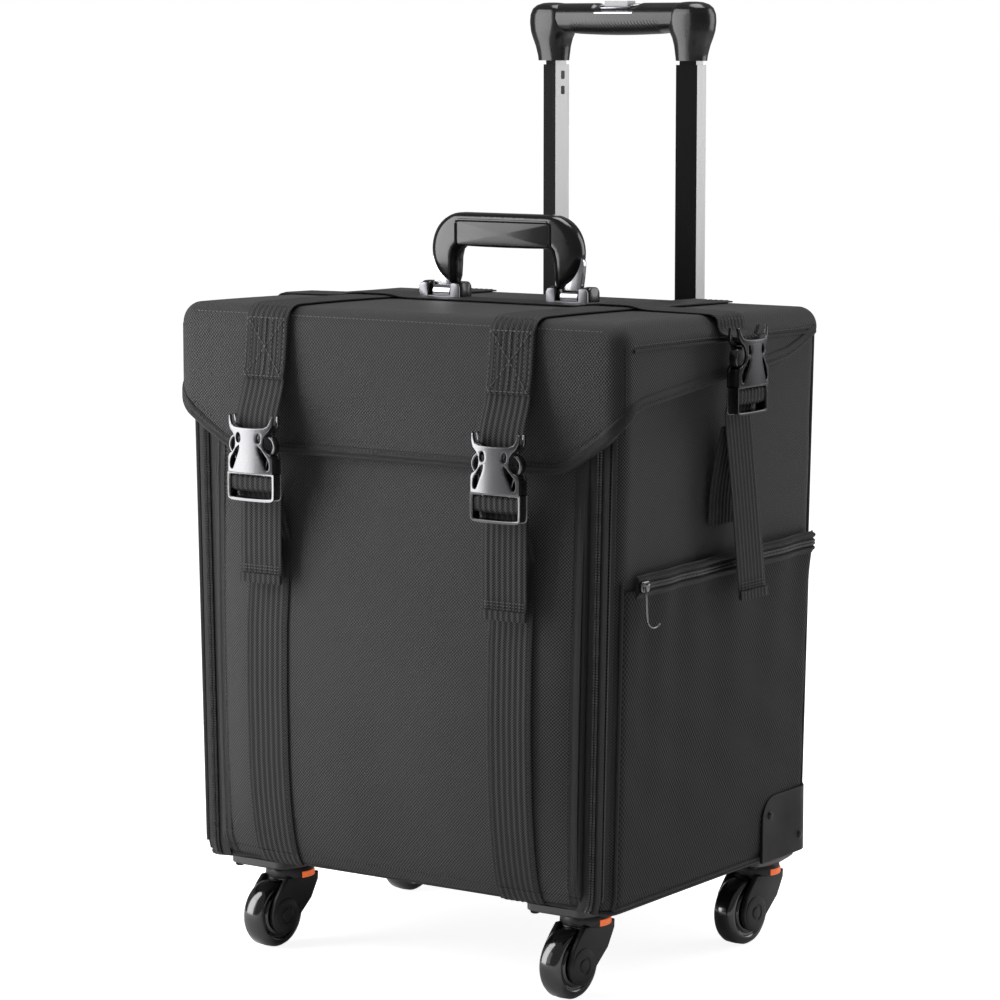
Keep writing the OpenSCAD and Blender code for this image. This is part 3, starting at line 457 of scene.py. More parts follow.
def cord(path, radius, sides=8, closed=False, ripple=0.0, pitch=1.6):
    """Round tube along a path. With ripple, its radius swells by that share once every pitch, like a coil."""
    path = np.asarray(path, float)
    d = tangents(path, closed)
    ref = np.where(np.abs(d[:, 2:]) > 0.9, ALONG_X, UP)
    normal = np.cross(d, ref)
    normal /= np.linalg.norm(normal, axis=1, keepdims=True)
    section = np.broadcast_to(disc(radius, sides), (len(path), sides, 2))
    if ripple:
        section = section * (1 + ripple * np.sin(2 * math.pi * run_of(path) / pitch))[:, None, None]
    return sweep(path, normal, np.cross(d, normal), section, closed)


def strap_section():
    """Webbing's section: faces at thick / 2 + rib * (cos(2 pi ribs b / width) - 0.6), thin at the edges."""
    ribs, rib = 8, 0.28
    b = np.linspace(-STRAP_W / 2, STRAP_W / 2, 65)
    edge = 1 - np.abs(2 * b / STRAP_W) ** 14 * 0.7
    a = (STRAP_T / 2 + rib * (np.cos(2 * math.pi * ribs * b / STRAP_W) - 0.6)) * edge
    return np.concatenate([np.stack([a, b], -1), np.stack([-a, b], -1)[::-1]])


def webbing(path, across):
    """A strap along a path in mm; its width runs along the unit vector across."""
    normal = np.cross(tangents(path), across)
    return sweep(path, normal / np.linalg.norm(normal, axis=1, keepdims=True), across, strap_section())


def stitches(path, out, pitch=3.4, length=2.3):
    """A row of thread stitches: one spindle for each pitch of the path, lying on the cloth that faces out."""
    path = np.asarray(path, float)
    s = run_of(path)
    at = np.arange(pitch / 2, s[-1], pitch)
    spot = np.stack([np.interp(at, s, c) for c in path.T], 1)
    ahead = np.stack([np.interp(at + 0.3, s, c) - np.interp(at - 0.3, s, c) for c in path.T], 1)
    ahead /= np.maximum(np.linalg.norm(ahead, axis=1, keepdims=True), 1e-9)
    out = np.broadcast_to(np.asarray(out, float), spot.shape)
    side = np.cross(ahead, out)
    a = np.arange(6) * math.pi / 3
    rings = np.array([(-0.5, 0.35), (-0.3, 1.0), (0.3, 1.0), (0.5, 0.35)])
    unit = np.array([(x * length, r * THREAD_R * math.cos(k), r * THREAD_R * math.sin(k))
                     for x, r in rings for k in a])
    base = quads(4, 6, wrap_m=True).tolist() + [[5, 4, 3, 2, 1, 0], [18, 19, 20, 21, 22, 23]]
    along, across, off = (unit[None, :, k:k + 1] for k in range(3))
    verts = spot[:, None] + along * ahead[:, None] + across * side[:, None] + off * out[:, None]
    faces = [[k + 24 * i for k in f] for i in range(len(spot)) for f in base]
    return verts.reshape(-1, 3), faces, None


def rounded(x, y, r, corners=6):
    """Ring of points round a rectangle of half sizes x and y with corners of radius r, anticlockwise."""
    a = np.linspace(0, math.pi / 2, corners)
    out = []
    for k, (sx, sy) in enumerate(((1, 1), (-1, 1), (-1, -1), (1, -1))):
        t = a + k * math.pi / 2
        out.append(np.stack([sx * (x - r) + r * np.cos(t), sy * (y - r) + r * np.sin(t)], -1))
    return np.concatenate(out)


def lathe(profile, sides):
    """Solid of revolution about the first axis: each (a, r) of the profile is a ring; fans close the ends."""
    p = np.asarray(profile, float)
    t = np.arange(sides) * 2 * math.pi / sides
    a, r = p[:, :1], p[:, 1:]
    return loft(np.stack(np.broadcast_arrays(a, r * np.cos(t), r * np.sin(t)), -1))


def pillow(lo, hi, corner, edge, axis=2):
    """Block with rounded corners about an axis; its ends shrink by edge * (1 - cos t), t up to 90 degrees."""
    lo, hi = np.asarray(lo, float), np.asarray(hi, float)
    order = {2: (0, 1, 2), 1: (2, 0, 1), 0: (1, 2, 0)}[axis]
    c, h = (lo + hi)[list(order)] / 2, (hi - lo)[list(order)] / 2
    t = np.linspace(0, math.pi / 2, 4)
    levels = [(-h[2] + edge * (1 - math.sin(k)), edge * (1 - math.cos(k))) for k in t[::-1]]
    levels += [(h[2] - edge * (1 - math.sin(k)), edge * (1 - math.cos(k))) for k in t]
    rings = []
    for z, inset in levels:
        ring = rounded(h[0] - inset, h[1] - inset, max(corner - inset, 0.05))
        rings.append(np.column_stack([ring, np.full(len(ring), z)]) + c)
    back = np.argsort(order)
    return loft(np.array(rings)[..., back])


def plate(outline, holes, depth, edge, place, fine=0.0):
    """Flat moulding: a filled outline with holes, depth thick about z = 0, edges rounded, moved by place().

    With fine, edges longer than it are halved, so that the face can curve.
    """
    curve = bpy.data.curves.new("outline", "CURVE")
    curve.dimensions, curve.fill_mode = "2D", "BOTH"
    curve.extrude, curve.bevel_depth, curve.bevel_resolution, curve.offset = depth / 2 - edge, edge, 2, -edge
    for ring in [outline, *holes]:
        ring = np.asarray(ring, float)
        spline = curve.splines.new("POLY")
        spline.points.add(len(ring) - 1)
        flat = np.column_stack([ring, np.zeros(len(ring)), np.ones(len(ring))])
        spline.points.foreach_set("co", flat.ravel())
        spline.use_cyclic_u = True
    holder = bpy.data.objects.new("outline", curve)
    scene.collection.objects.link(holder)
    graph = bpy.context.evaluated_depsgraph_get()
    mesh = bpy.data.meshes.new_from_object(holder.evaluated_get(graph))
    if fine:
        bm = bmesh.new()
        bm.from_mesh(mesh)
        for _ in range(5):
            long_edges = [e for e in bm.edges if e.calc_length() > fine]
            bmesh.ops.subdivide_edges(bm, edges=long_edges, cuts=1)
            bmesh.ops.triangulate(bm, faces=bm.faces)
        bm.to_mesh(mesh)
        bm.free()
    v = np.empty(len(mesh.vertices) * 3)
    mesh.vertices.foreach_get("co", v)
    faces = [list(p.vertices) for p in mesh.polygons]
    bpy.data.objects.remove(holder)
    bpy.data.curves.remove(curve)
    bpy.data.meshes.remove(mesh)
    return place(v.reshape(-1, 3)), faces, None


def mirrored(points):
    """An outline's right half, given from bottom to top, with its mirror image."""
    p = np.asarray(points, float)
    return np.concatenate([p, (p * (-1, 1))[::-1]])


def smooth_ring(points, rounds=2):
    """Corner cutting: each side keeps its points at 1/4 and 3/4."""
    p = np.asarray(points, float)
    for _ in range(rounds):
        q = np.roll(p, -1, 0)
        p = np.stack([0.75 * p + 0.25 * q, 0.25 * p + 0.75 * q], 1).reshape(-1, 2)
    return p


def taper(x, z):
    """The body narrows downwards: x scales linearly from the rim's half-width to the bottom's.

    A quarter ellipse draws it in over the lowest 17 mm, by 4.3 mm at the most.
    """
    z = np.asarray(z)
    low = np.clip((BASE_Z + 17 - z) / 15, 0, 1)
    tuck = 5.0 * (1 - np.sqrt(1 - 0.98 * low ** 2))
    return x * (BOTTOM_X - tuck + (TOP_X - BOTTOM_X) * (z - BASE_Z) / (RIM_Z - BASE_Z)) / BODY_X


def rail(x, y, z):
    """Points at heights z on the tapered body, at one x and one y."""
    return np.stack([taper(np.full(len(z), x), z), np.full(len(z), y), z], -1)


def at_x(x, path):
    """Points (y, z) of a path put in the plane of one x."""
    return np.column_stack([np.full(len(path), x), path])


def at_y(y, path):
    """Points (x, z) of a path put in the plane of one y."""
    return np.column_stack([path[:, 0], np.full(len(path), y), path[:, 1]])


def front_tuck(x):
    """Share by which the bottom's front edge is drawn up and back: 1 - |x / half-width|^6."""
    return 1 - np.clip(np.abs(x) / BOTTOM_X, 0, 1) ** 6


def ripple_of(a, b, size, seed):
    """Soft unevenness: a sum of four sines of random direction and phase, wavelengths of 60 to 200 mm."""
    g = np.random.default_rng(seed)
    total = np.zeros(np.broadcast(a, b).shape)
    for _ in range(4):
        angle, wave, phase = g.uniform(0, math.pi), g.uniform(60, 200), g.uniform(0, 6.28)
        total = total + np.sin(2 * math.pi * (a * math.cos(angle) + b * math.sin(angle)) / wave + phase)
    return size * total / 4


# ---- body ----

def body_outline(inset):
    """U-shaped plan of the walls, from the front opening's right edge round the back to its left edge."""
    r = BODY_R - inset
    x, y = BODY_X - inset, BODY_Y - inset
    a = np.linspace(0, math.pi / 2, 9)
    right = [np.array([(OPENING_X, -y), (OPENING_X + 0.01, -y)]),
             np.stack([x - r + r * np.sin(a), -y + r - r * np.cos(a)], -1)[1:],
             np.stack([np.full(60, x), np.linspace(-y + r, y - r, 62)[1:-1]], -1),
             np.stack([x - r + r * np.cos(a), y - r + r * np.sin(a)], -1)]
    right = np.concatenate(right)
    middle = np.stack([np.linspace(x - r, -(x - r), 80)[1:-1], np.full(78, y)], -1)
    return np.concatenate([right, middle, (right * (-1, 1))[::-1]])


def make_walls():
    """Padded walls: the plan of body_outline carried up, tapered and a little uneven. Base and piping."""
    z = np.concatenate([np.linspace(BASE_Z + 3, RIM_Z - 3, 70), [RIM_Z - 1.2, RIM_Z - 0.3]])
    outer, inner = body_outline(0), body_outline(WALL)
    around = run_of(outer)
    grids = []
    for plan, sign in ((outer, 1), (inner, 0)):
        soft = sign * (ripple_of(around[:, None], z[None], 0.5, 3) - 0.3)
        edge = np.where(z > RIM_Z - 2, -1.5 * (z - (RIM_Z - 2)) / 2, 0)[None] * (1 if sign else -1)
        p = plan[:, None] + (soft + edge)[..., None] * sideways(plan)[:, None]
        grid = np.concatenate([p, np.broadcast_to(z[None, :, None], p.shape[:2] + (1,))], -1)
        grid[..., 0] = taper(grid[..., 0], grid[..., 2])
        grids.append(grid)
    uv = np.stack(np.broadcast_arrays(around[:, None], z[None]), -1)
    v, f, uv = slab(*grids, uv)
    walls = piece("padded_walls", v, f, "case", "black_fabric", NYLON, uv=uv,
                  replaces=("back_panel", "left_side_panel", "right_side_panel", "left_front_rim",
                            "right_front_rim"))

    base = pillow((5 - BOTTOM_X, 7 - BODY_Y, BASE_Z + 2.2), (BOTTOM_X - 5, BODY_Y - 1.6, BASE_Z + 12), BODY_R,
                  1.5)
    pad = pillow((-172.5, -125.5, BASE_Z + 11), (172.5, 125.5, BASE_Z + 14), 10, 1.4)
    v, f, _ = join([base, pad])
    piece("covered_base", v, f, "case", "base_board", BOARD, uv=v[:, :2], replaces=("base_board",))

    ring = rounded(BOTTOM_X + 0.8, BODY_Y + 0.4, BODY_R, corners=10)
    ring = bend(np.concatenate([ring, ring[:1]]), 2, 4.0)[:-1]
    up = front_tuck(ring[:, 0]) * (ring[:, 1] < 0)
    ring[:, 0] *= (BOTTOM_X - 3.6) / BOTTOM_X
    hem = np.column_stack([ring[:, 0], ring[:, 1] + 4.2 * up, BASE_Z + 2.8 + 2.4 * up])
    rows = [cord(hem, 2.1, closed=True)]
    z = np.linspace(BASE_Z + 12, RIM_Z - 1, 90)
    for sx in (-1, 1):
        for x, y, radius in ((181.2, -134.2, 1.9), (182.0, 131.3, 1.7), (174.6, -135.0, 1.5)):
            rows.append(cord(rail(sx * x, y, z), radius))
    merge("body_piping", rows, "case", "binding_tape", TAPE, uv=True)


def panel_front(z):
    """Front of the panel's middle: y between the points (z, y) of the padding's profile."""
    return np.interp(z, *np.transpose([(67, -130.5), (70, -131.5), (72, -133.4), (75, -135.6), (80, -138.1),
                                       (86, -140.2), (92, -141.8), (105, -144.4), (125, -147.2),
                                       (150, -149.2), (200, -150.3), (250, -149.4), (300, -145.3),
                                       (335, -141.6), (370, -138.4), (461, -137.5)]))


def panel_face(x, z):
    """Front of the padding at x and z: panel_front, falling as side^8 to a straighter line at the edges."""
    side = np.abs(x / PANEL_X)
    edge = np.maximum(panel_front(z) + 1.2, np.interp(z, [67, 80, 461], [-134.5, -139.6, -138.4]))
    fall = np.maximum(edge - panel_front(z), 0)
    return panel_front(z) + fall * side ** 8 + ripple_of(x, z, 0.45, 11) * (1 - side ** 4)


def make_panel():
    """Padded front panel and the sill below it, each drawn in at its lower and upper edge by two sizes."""
    for name, low, high, body, soft in (("padded_front_panel", PANEL_LOW, 461, "panel", (0.3, 1.5)),
                                        ("front_sill", BASE_Z + 4.2, PANEL_LOW - 0.15, "case", (1.5, 0.3))):
        count = int((high - low) / 5) + 3
        z = np.concatenate([[low, low + 0.4, low + 1.2], np.linspace(low + 2.4, high - 2.4, count),
                            [high - 1.2, high - 0.4, high]])
        start, end = (np.interp(gap, [0, 0.4, 1.2, 2.4], [1, 0.53, 0.2, 0]) for gap in (z - low, high - z))
        shrink = soft[0] * start + soft[1] * end
        make_pad(name, z, shrink, body)


def make_pad(name, z, shrink, body):
    """Padding across the front: at each z a ring with panel_face ahead and a flat back, less shrink."""
    x = np.linspace(-1, 1, 81)
    r = 5.0
    a = np.linspace(0, math.pi / 2, 6)[1:-1]
    rings = []
    for zi, di in zip(z, shrink):
        half = PANEL_X - di * 0.6
        xs = x * (half - r)
        front = np.stack([xs, panel_face(xs, zi) + di], -1)
        right = np.stack([half - r + r * np.sin(a), front[-1, 1] + r - r * np.cos(a)], -1)
        left = (right * (-1, 1))[::-1]
        backs = np.stack([x[::-1] * (half - 0.5), np.full(81, PANEL_BACK - di * 0.3)], -1)
        ring = np.concatenate([left, front, right, backs])
        ring[:, 0] = taper(ring[:, 0], zi)
        rings.append(np.column_stack([ring, np.full(len(ring), zi)]))
    rings = np.array(rings)
    v, f, uv = loft(rings, np.stack(np.broadcast_arrays(run_of(rings[3]), z[:, None]), -1))
    shown = ("front_panel",) if body == "panel" else ()
    pad = piece(name, v, f, body, "panel_fabric", NYLON, replaces=shown, uv=uv)


def make_panel_edges():
    """Piping and a bound fold down the panel's sides, carried on down the sill, with two rows of stitches."""
    for name, low, high, body, shown in (("panel_binding", PANEL_LOW, 459, "panel", ("front_panel_binding",)),
                                         ("sill_binding", BASE_Z + 4.6, PANEL_LOW - 0.4, "case", ())):
        z = np.linspace(low, high, max(6, int((high - low) / 3)))
        parts, rows = [], []
        for sx in (-1, 1):
            def line(inset, out):
                """Line down the panel's face, inset from its side and standing out from the cloth."""
                x = PANEL_X - inset
                return np.stack([taper(np.full(len(z), sx * x), z), panel_face(x, z) - out, z], -1)

            parts.append(cord(line(0.4, -1.6), 2.3))
            parts.append(sweep(line(5.2, 0.1), AHEAD, ALONG_X, disc(1, 14) * (0.6, 4.8)))
            rows += [stitches(line(8.4, 0.7), AHEAD), stitches(line(3.0, 0.9), AHEAD)]
        merge(name, parts, body, "binding_tape", TAPE, uv=True, replaces=shown)
        merge(name + "_stitches", rows, body, "binding_tape", THREAD)


def make_front_zips():
    """Zip tape with a rippled coil of two cords beside each edge of the front panel."""
    parts, coils = [], []
    low, high, tape_x, coil_x = 70, 460, 170.0, 171.0
    z = np.linspace(low, high, 640)
    for sx in (-1, 1):
        tape = rail(sx * tape_x, -135.6, np.linspace(low, high, 40))
        parts.append(sweep(tape, AHEAD, ALONG_X, disc(1, 10) * (0.8, 9.0)))
        for off in (-1.3, 1.3):
            coils.append(cord(rail(sx * coil_x, -136.9, z) + (off, 0, 0), 1.15, sides=6, ripple=0.22,
                              pitch=1.9))
    merge("front_zip_tape", parts, "case", "zip_coil", TAPE, uv=True, replaces=("front_zip_tapes",))
    merge("front_zip_coils", coils, "case", "zip_coil", COIL)


make_walls()
make_panel()
make_panel_edges()
make_front_zips()


# ---- lid ----

def lid_low_front(x):
    """Height of the front flap's lower edge at x."""
    return np.interp(np.abs(x), [136, 143, 150, 165, 178, 188, 193],
                     [374, 375, 378.4, 387.5, 396.5, 404.5, 410])


def lid_low_side(y):
    """Height of a side flap's lower edge at y."""
    return np.interp(y, [-144, -139, -128, -116, 60, 78, 96, 108, 120, 130],
                     [410, 412.5, 417, 420, 438, 440.5, 446, 451, 457, 459])


def round_over(p):
    """Rounds a sharp box: p moves to c + r * (p - c) / |p - c|, c being the inner box's nearest point."""
    lo = np.array([-LID_X + LID_R, LID_FRONT + LID_R, -1e4])
    hi = np.array([LID_X - LID_R, LID_BACK - LID_R, LID_TOP - LID_R])
    c = np.clip(p, lo, hi)
    d = p - c
    n = np.linalg.norm(d, axis=-1, keepdims=True)
    return c + LID_R * d / np.maximum(n, 1e-9)


def puff(p):
    """The stuffed top rides up: z grows by 5 mm in front, 0.8 mm behind and nothing low on the flaps."""
    p = np.array(p, float)
    ahead = np.clip((LID_BACK - p[..., 1]) / (LID_BACK - LID_FRONT), 0, 1)
    p[..., 2] += (0.8 + 4.2 * ahead ** 2 * (3 - 2 * ahead)) * np.clip((p[..., 2] - 432) / 41, 0, 1)
    return p


def fine_ends(lo, hi, n):
    """Numbers from lo to hi, close together over the rounded part at both ends."""
    return np.concatenate([np.linspace(lo, lo + LID_R, 7)[:-1], np.linspace(lo + LID_R, hi - LID_R, n),
                           np.linspace(hi - LID_R, hi, 7)[1:]])


def lid_faces():
    """Top, front, sides and low back of the lid as rounded grids, each with its UV and its winding."""
    xs, ys = fine_ends(-LID_X, LID_X, 60), fine_ends(LID_FRONT, LID_BACK, 44)
    t = np.concatenate([np.linspace(0, 0.86, 22), np.linspace(0.86, 1, 8)[1:]])
    low_back = np.interp(np.abs(xs), [186, LID_X], [464.2, lid_low_side(LID_BACK)])
    X, Y = np.meshgrid(xs, ys, indexing="ij")
    faces = [(round_over(np.stack([X, Y, np.full(X.shape, LID_TOP)], -1)), np.stack([X, Y], -1), 1)]
    for plane, run, low in ((LID_FRONT, xs, lid_low_front(xs)), (LID_X, ys, lid_low_side(ys)),
                            (-LID_X, ys, lid_low_side(ys)), (LID_BACK, xs, low_back)):
        Z = low[:, None] + (LID_TOP - low[:, None]) * t[None]
        along = np.broadcast_to(run[:, None], Z.shape)
        flat = np.full(Z.shape, plane)
        grid = np.stack([along, flat, Z] if run is xs else [flat, along, Z], -1)
        faces.append((round_over(grid), np.stack([along, Z], -1), 1 if plane in (LID_FRONT, LID_X) else -1))
    return faces


def make_lid():
    """Lid cover: lid_faces with z + 0.9 * (1 - x^2) * (1 - y^2) on top and ripple_of low on the flaps."""
    parts = []
    for grid, uv, sign in lid_faces():
        x, y, z = grid[..., 0], grid[..., 1], grid[..., 2]
        on_top = np.clip((z - (LID_TOP - 4)) / 4, 0, 1)
        y_share = (y - LID_FRONT - LID_HALF) / LID_HALF
        crown = np.clip(1 - (x / LID_X) ** 2, 0, 1) * np.clip(1 - y_share ** 2, 0, 1)
        drop = np.clip((LID_TOP - 20 - z) / 60, 0, 1)
        front = np.clip((LID_FRONT + 3 - y) / 3, 0, 1)
        side = np.clip((np.abs(x) - LID_X + 3) / 3, 0, 1)
        out = grid.copy()
        out[..., 2] += on_top * 0.9 * crown
        out[..., 1] -= front * drop * (0.4 + ripple_of(x, z, 0.6, 21))
        out[..., 0] += np.sign(x) * side * drop * (0.2 + ripple_of(y, z, 0.5, 22))
        f = quads(*grid.shape[:2])
        parts.append((out.reshape(-1, 3), f if sign > 0 else f[:, ::-1], uv.reshape(-1, 2)))
    lid = merge("padded_lid", parts, "lid", "black_fabric", NYLON, uv=True, puffed=True,
                replaces=("lid_cover",), weld=0.05)
    wall = lid.modifiers.new("padding", "SOLIDIFY")
    wall.thickness, wall.offset, wall.use_even_offset = FLAP * MM, -1.0, True
    v, f, _ = pillow((-184.5, -136.5, LID_TOP - 9), (184.5, 122.5, LID_TOP - 5.5), 8, 1.2)
    piece("lid_liner", v, f, "lid", "black_fabric", BOARD, uv=v[:, :2])


def flap_edge(lift, out=0.0):
    """Path along the flaps, lift above their lower edge and out from the cloth, and its outward normals."""
    ys = np.linspace(LID_BACK - LID_R, LID_FRONT + LID_R, 90)
    xs = np.linspace(LID_X - LID_R, -LID_X + LID_R, 130)
    a = np.linspace(0, math.pi / 2, 12)[1:-1]
    corner = np.stack([LID_X - LID_R + LID_R * np.cos(a), LID_FRONT + LID_R - LID_R * np.sin(a)], -1)
    right = np.concatenate([np.stack([np.full(90, LID_X), ys], -1), corner])
    plan = np.concatenate([right, np.stack([xs, np.full(130, LID_FRONT)], -1), (right * (-1, 1))[::-1]])
    round_corner = np.linspace(lid_low_side(LID_FRONT + LID_R), lid_low_front(LID_X - LID_R), 12)[1:-1]
    low_right = np.concatenate([lid_low_side(ys), round_corner])
    low = np.concatenate([low_right, lid_low_front(xs), low_right[::-1]])
    normal = -sideways(plan)
    normal *= np.sign((plan * normal).sum(1, keepdims=True))
    path = np.column_stack([plan + out * normal, low + lift])
    return path, np.column_stack([normal, np.zeros(len(plan))])


def make_lid_trim():
    """Binding folded over the flaps' edge, rows of stitches, and seams at the lid's corners and top."""
    path, normal = flap_edge(3.4, -FLAP / 2)
    up = np.cross(tangents(path), normal)
    up /= np.linalg.norm(up, axis=1, keepdims=True)
    up *= np.sign(up[:, 2:])
    v, f, uv = sweep(path, normal, up, squarish(24, 0.6) * (FLAP / 2 + 1.5, 4.6))
    piece("flap_binding", v, f, "lid", "binding_tape", TAPE, uv=uv, replaces=("lid_binding",))

    seams, thread, edge_rows = [], [], []
    for lift, out in ((5.6, 1.6), (11.5, 0.35)):
        path, _ = flap_edge(lift, out)
        edge_rows.append(stitches(path[np.abs(path[:, 0]) < LID_X - LID_R], AHEAD))
    z = np.linspace(402, LID_TOP - LID_R, 30)
    y = np.linspace(LID_FRONT + LID_R, LID_BACK - LID_R, 60)
    corner = math.radians(60)
    corner_x = LID_X - LID_R + LID_R * math.sin(corner) - 0.3
    corner_y = LID_FRONT + LID_R - LID_R * math.cos(corner) + 0.2
    for sx in (-1, 1):
        upright = np.stack([np.full(30, sx * corner_x), np.full(30, corner_y), z], -1)
        seams.append(cord(bend(upright, 4, 3), 0.9))
        seam = np.stack([np.full(60, sx * (LID_X + 0.25)), y, np.full(60, LID_TOP - 17)], -1)
        seams.append(cord(seam, 1.3))
        row = np.stack([np.full(60, sx * (LID_X + 0.35)), y, np.full(60, LID_TOP - 13.8)], -1)
        thread.append(stitches(row, (sx, 0, 0)))
    x = np.linspace(-LID_X + 18, LID_X - 18, 120)
    k = math.radians(38)
    row_y = LID_FRONT + LID_R - (LID_R + 0.1) * math.cos(k)
    row_z = LID_TOP - LID_R + (LID_R + 0.1) * math.sin(k)
    row = np.stack([x, np.full(120, row_y), np.full(120, row_z)], -1)
    thread.append(stitches(row, (0, -math.cos(k), math.sin(k))))
    merge("lid_seams", seams, "lid", "black_fabric", TAPE, uv=True, puffed=True)
    merge("lid_stitching", thread, "lid", "binding_tape", THREAD_GREY, puffed=True)
    merge("flap_stitching", edge_rows, "lid", "binding_tape", THREAD)


make_lid()
make_lid_trim()


# ---- webbing ----

def box_stitch(x0, x1, z0, z1, at):
    """Stitches along a rectangle and its diagonals; at() puts their points (x, z) on the front."""
    lines = [[(x0, z0), (x1, z0), (x1, z1), (x0, z1), (x0, z0)], [(x0, z0), (x1, z1)], [(x1, z0), (x0, z1)]]
    return [stitches(at(bend(line, 0.01, 1.5)), AHEAD) for line in lines]


BUCKLE_Y, BUCKLE_Z = -163.5, 357.0
SIDE_BUCKLE_X, SIDE_BUCKLE_Z = 207.5, 424.0


def make_lid_strap(side, x0):
    """Webbing over the lid at x0, doubled at its front end, with a box of stitches and five upright rows."""
    path = bend([(116, LID_TOP + 1.2), (60, LID_TOP + 1.9), (-90, LID_TOP + 1.9),
                 (LID_FRONT - 0.6, LID_TOP + 1.6), (LID_FRONT - 2.4, 455), (LID_FRONT - 4.5, 438),
                 (LID_FRONT - 9, 421), (BUCKLE_Y + 2.2, 400), (BUCKLE_Y + 2.4, 389.5)], 13)
    second = bend([(LID_FRONT + 3, 472.6), (LID_FRONT - 2.8, 468), (LID_FRONT - 4.3, 455),
                   (LID_FRONT - 6.3, 438), (LID_FRONT - 9.2, 427)], 10)
    merge(f"{side}_lid_webbing", [webbing(at_x(x0, line), ALONG_X) for line in (path, second)], "lid",
          "black_webbing", WEBBING, uv=True, puffed=True, replaces=(f"{side}_lid_strap",))

    def on_strap(q):
        """Puts (x, z) on the doubled webbing's face, which leans forward downwards."""
        lean = np.interp(q[:, 1], [427, 438, 455, 468], LID_FRONT - np.array([10.8, 7.7, 5.7, 4.4]))
        return np.column_stack([q[:, 0], lean, q[:, 1]])

    rows = box_stitch(x0 - 16.5, x0 + 16.5, 429, 466, on_strap)
    for off in np.linspace(-12, 12, 5):
        line = np.column_stack([np.full(30, x0 + off), np.linspace(430, 466, 30)])
        rows.append(stitches(on_strap(line), AHEAD, pitch=2.8, length=1.6))
    merge(f"{side}_strap_stitching", rows, "lid", "black_webbing", THREAD_GREY, puffed=True)


def make_panel_strap(side, x0):
    """Webbing down the panel and the sill at x0, on the padding, with a row of stitches by each edge."""
    def face(z):
        """Points (y, z) just in front of the padding."""
        return np.stack([panel_face(np.full(len(z), x0), z) - 1.3, z], -1)

    hem = face(np.linspace(PANEL_LOW - 0.2, BASE_Z + 3.4, 12))
    merge(f"{side}_sill_webbing", [webbing(at_x(x0, hem), ALONG_X)], "case", "black_webbing", WEBBING,
          uv=True)
    top = BUCKLE_Z - 21
    down = face(np.linspace(312, PANEL_LOW, 70))
    path = bend(np.concatenate([[(BUCKLE_Y + 9.6, top + 8), (BUCKLE_Y + 10.2, top - 4)], down]), 3, 2.0)
    merge(f"{side}_panel_webbing", [webbing(at_x(x0, path), ALONG_X)], "panel", "black_webbing", WEBBING,
          uv=True, replaces=(f"{side}_panel_strap",))
    rows = [stitches(at_x(x0 + off, down - (1.15, 0))[8:], AHEAD) for off in (-16.2, 16.2)]
    merge(f"{side}_panel_strap_stitching", rows, "panel", "black_webbing", THREAD)


def make_side_straps():
    """One webbing across the lid to both side buckles, and a short sewn one below each of them."""
    half = [(0, LID_TOP + 2.1), (78, LID_TOP + 2.0), (88, LID_TOP + 4.2), (123, LID_TOP + 4.2),
            (132, LID_TOP + 1.6), (LID_X + 1.2, LID_TOP + 0.8), (LID_X + 1.6, 462),
            (SIDE_BUCKLE_X - 2.4, 460), (SIDE_BUCKLE_X - 2.4, 455)]
    right = bend(half, 9)
    path = np.concatenate([(right * (-1, 1))[::-1], right[1:]])
    merge("cross_webbing", [webbing(at_y(CROSS_Y, path), ALONG_Y)], "lid", "black_webbing", WEBBING, uv=True,
          puffed=True, replaces=("cross_strap",))
    anchor = bend([(197.4, 399), (192.5, 376), (188.2, 352), (187.4, 328)], 14)
    parts = [webbing(at_y(CROSS_Y, anchor * (sx, 1)), ALONG_Y) for sx in (-1, 1)]
    merge("side_anchor_webbing", parts, "case", "black_webbing", WEBBING, uv=True,
          replaces=("side_anchor_straps",))


for side, x0 in (("left", -STRAP_X), ("right", STRAP_X)):
    make_lid_strap(side, x0)
    make_panel_strap(side, x0)
make_side_straps()


# ---- buckles ----

SOCKET_HALF = [(21, 0), (21, 5), (21, 12.0), (19.9, 14.4), (16.4, 16.4), (13.8, 19.2), (12.9, 22.8),
               (13.3, 27.0), (15.4, 30.6), (18.6, 33.6), (20.4, 37.6), (21, 44), (19.4, 44.6), (18.4, 40.6),
               (16.6, 37.0), (13.5, 35.6), (6, 35.1), (0, 35)]
UPPER_EYE = [(7.7, 24.4), (9.4, 23.3), (11.0, 24.4), (11.6, 27.2), (11.2, 30.4), (9.5, 31.4), (7.9, 30.2),
             (7.3, 27.0)]
LONG_EYE = [(8.8, 21.6), (9.6, 20.9), (11.6, 19.6), (14.2, 15.9), (17.8, 11.2), (18.5, 7.4), (18.1, 3.8),
            (16.4, 2.6), (14.9, 4.2), (12.6, 9.6), (10.0, 15.4), (8.7, 19.4)]
# The buckles are drawn for the full strap's width, then scaled by these shares and lifted.
ACROSS, UPWARD, LIFT = 0.95, 0.93, 3.2


def front_place(x0):
    """Puts (across, up, outward) of a buckle at the front at x0."""
    return lambda p: np.stack([x0 + ACROSS * p[..., 0], BUCKLE_Y - p[..., 2],
                               BUCKLE_Z + LIFT + UPWARD * p[..., 1]], -1)


def side_place(sx):
    """Puts (across, up, outward) of a buckle at the side: across runs along Y and outward along sx * X."""
    return lambda p: np.stack([sx * (SIDE_BUCKLE_X + p[..., 2]), CROSS_Y + sx * ACROSS * p[..., 0],
                               SIDE_BUCKLE_Z + LIFT + UPWARD * p[..., 1]], -1)


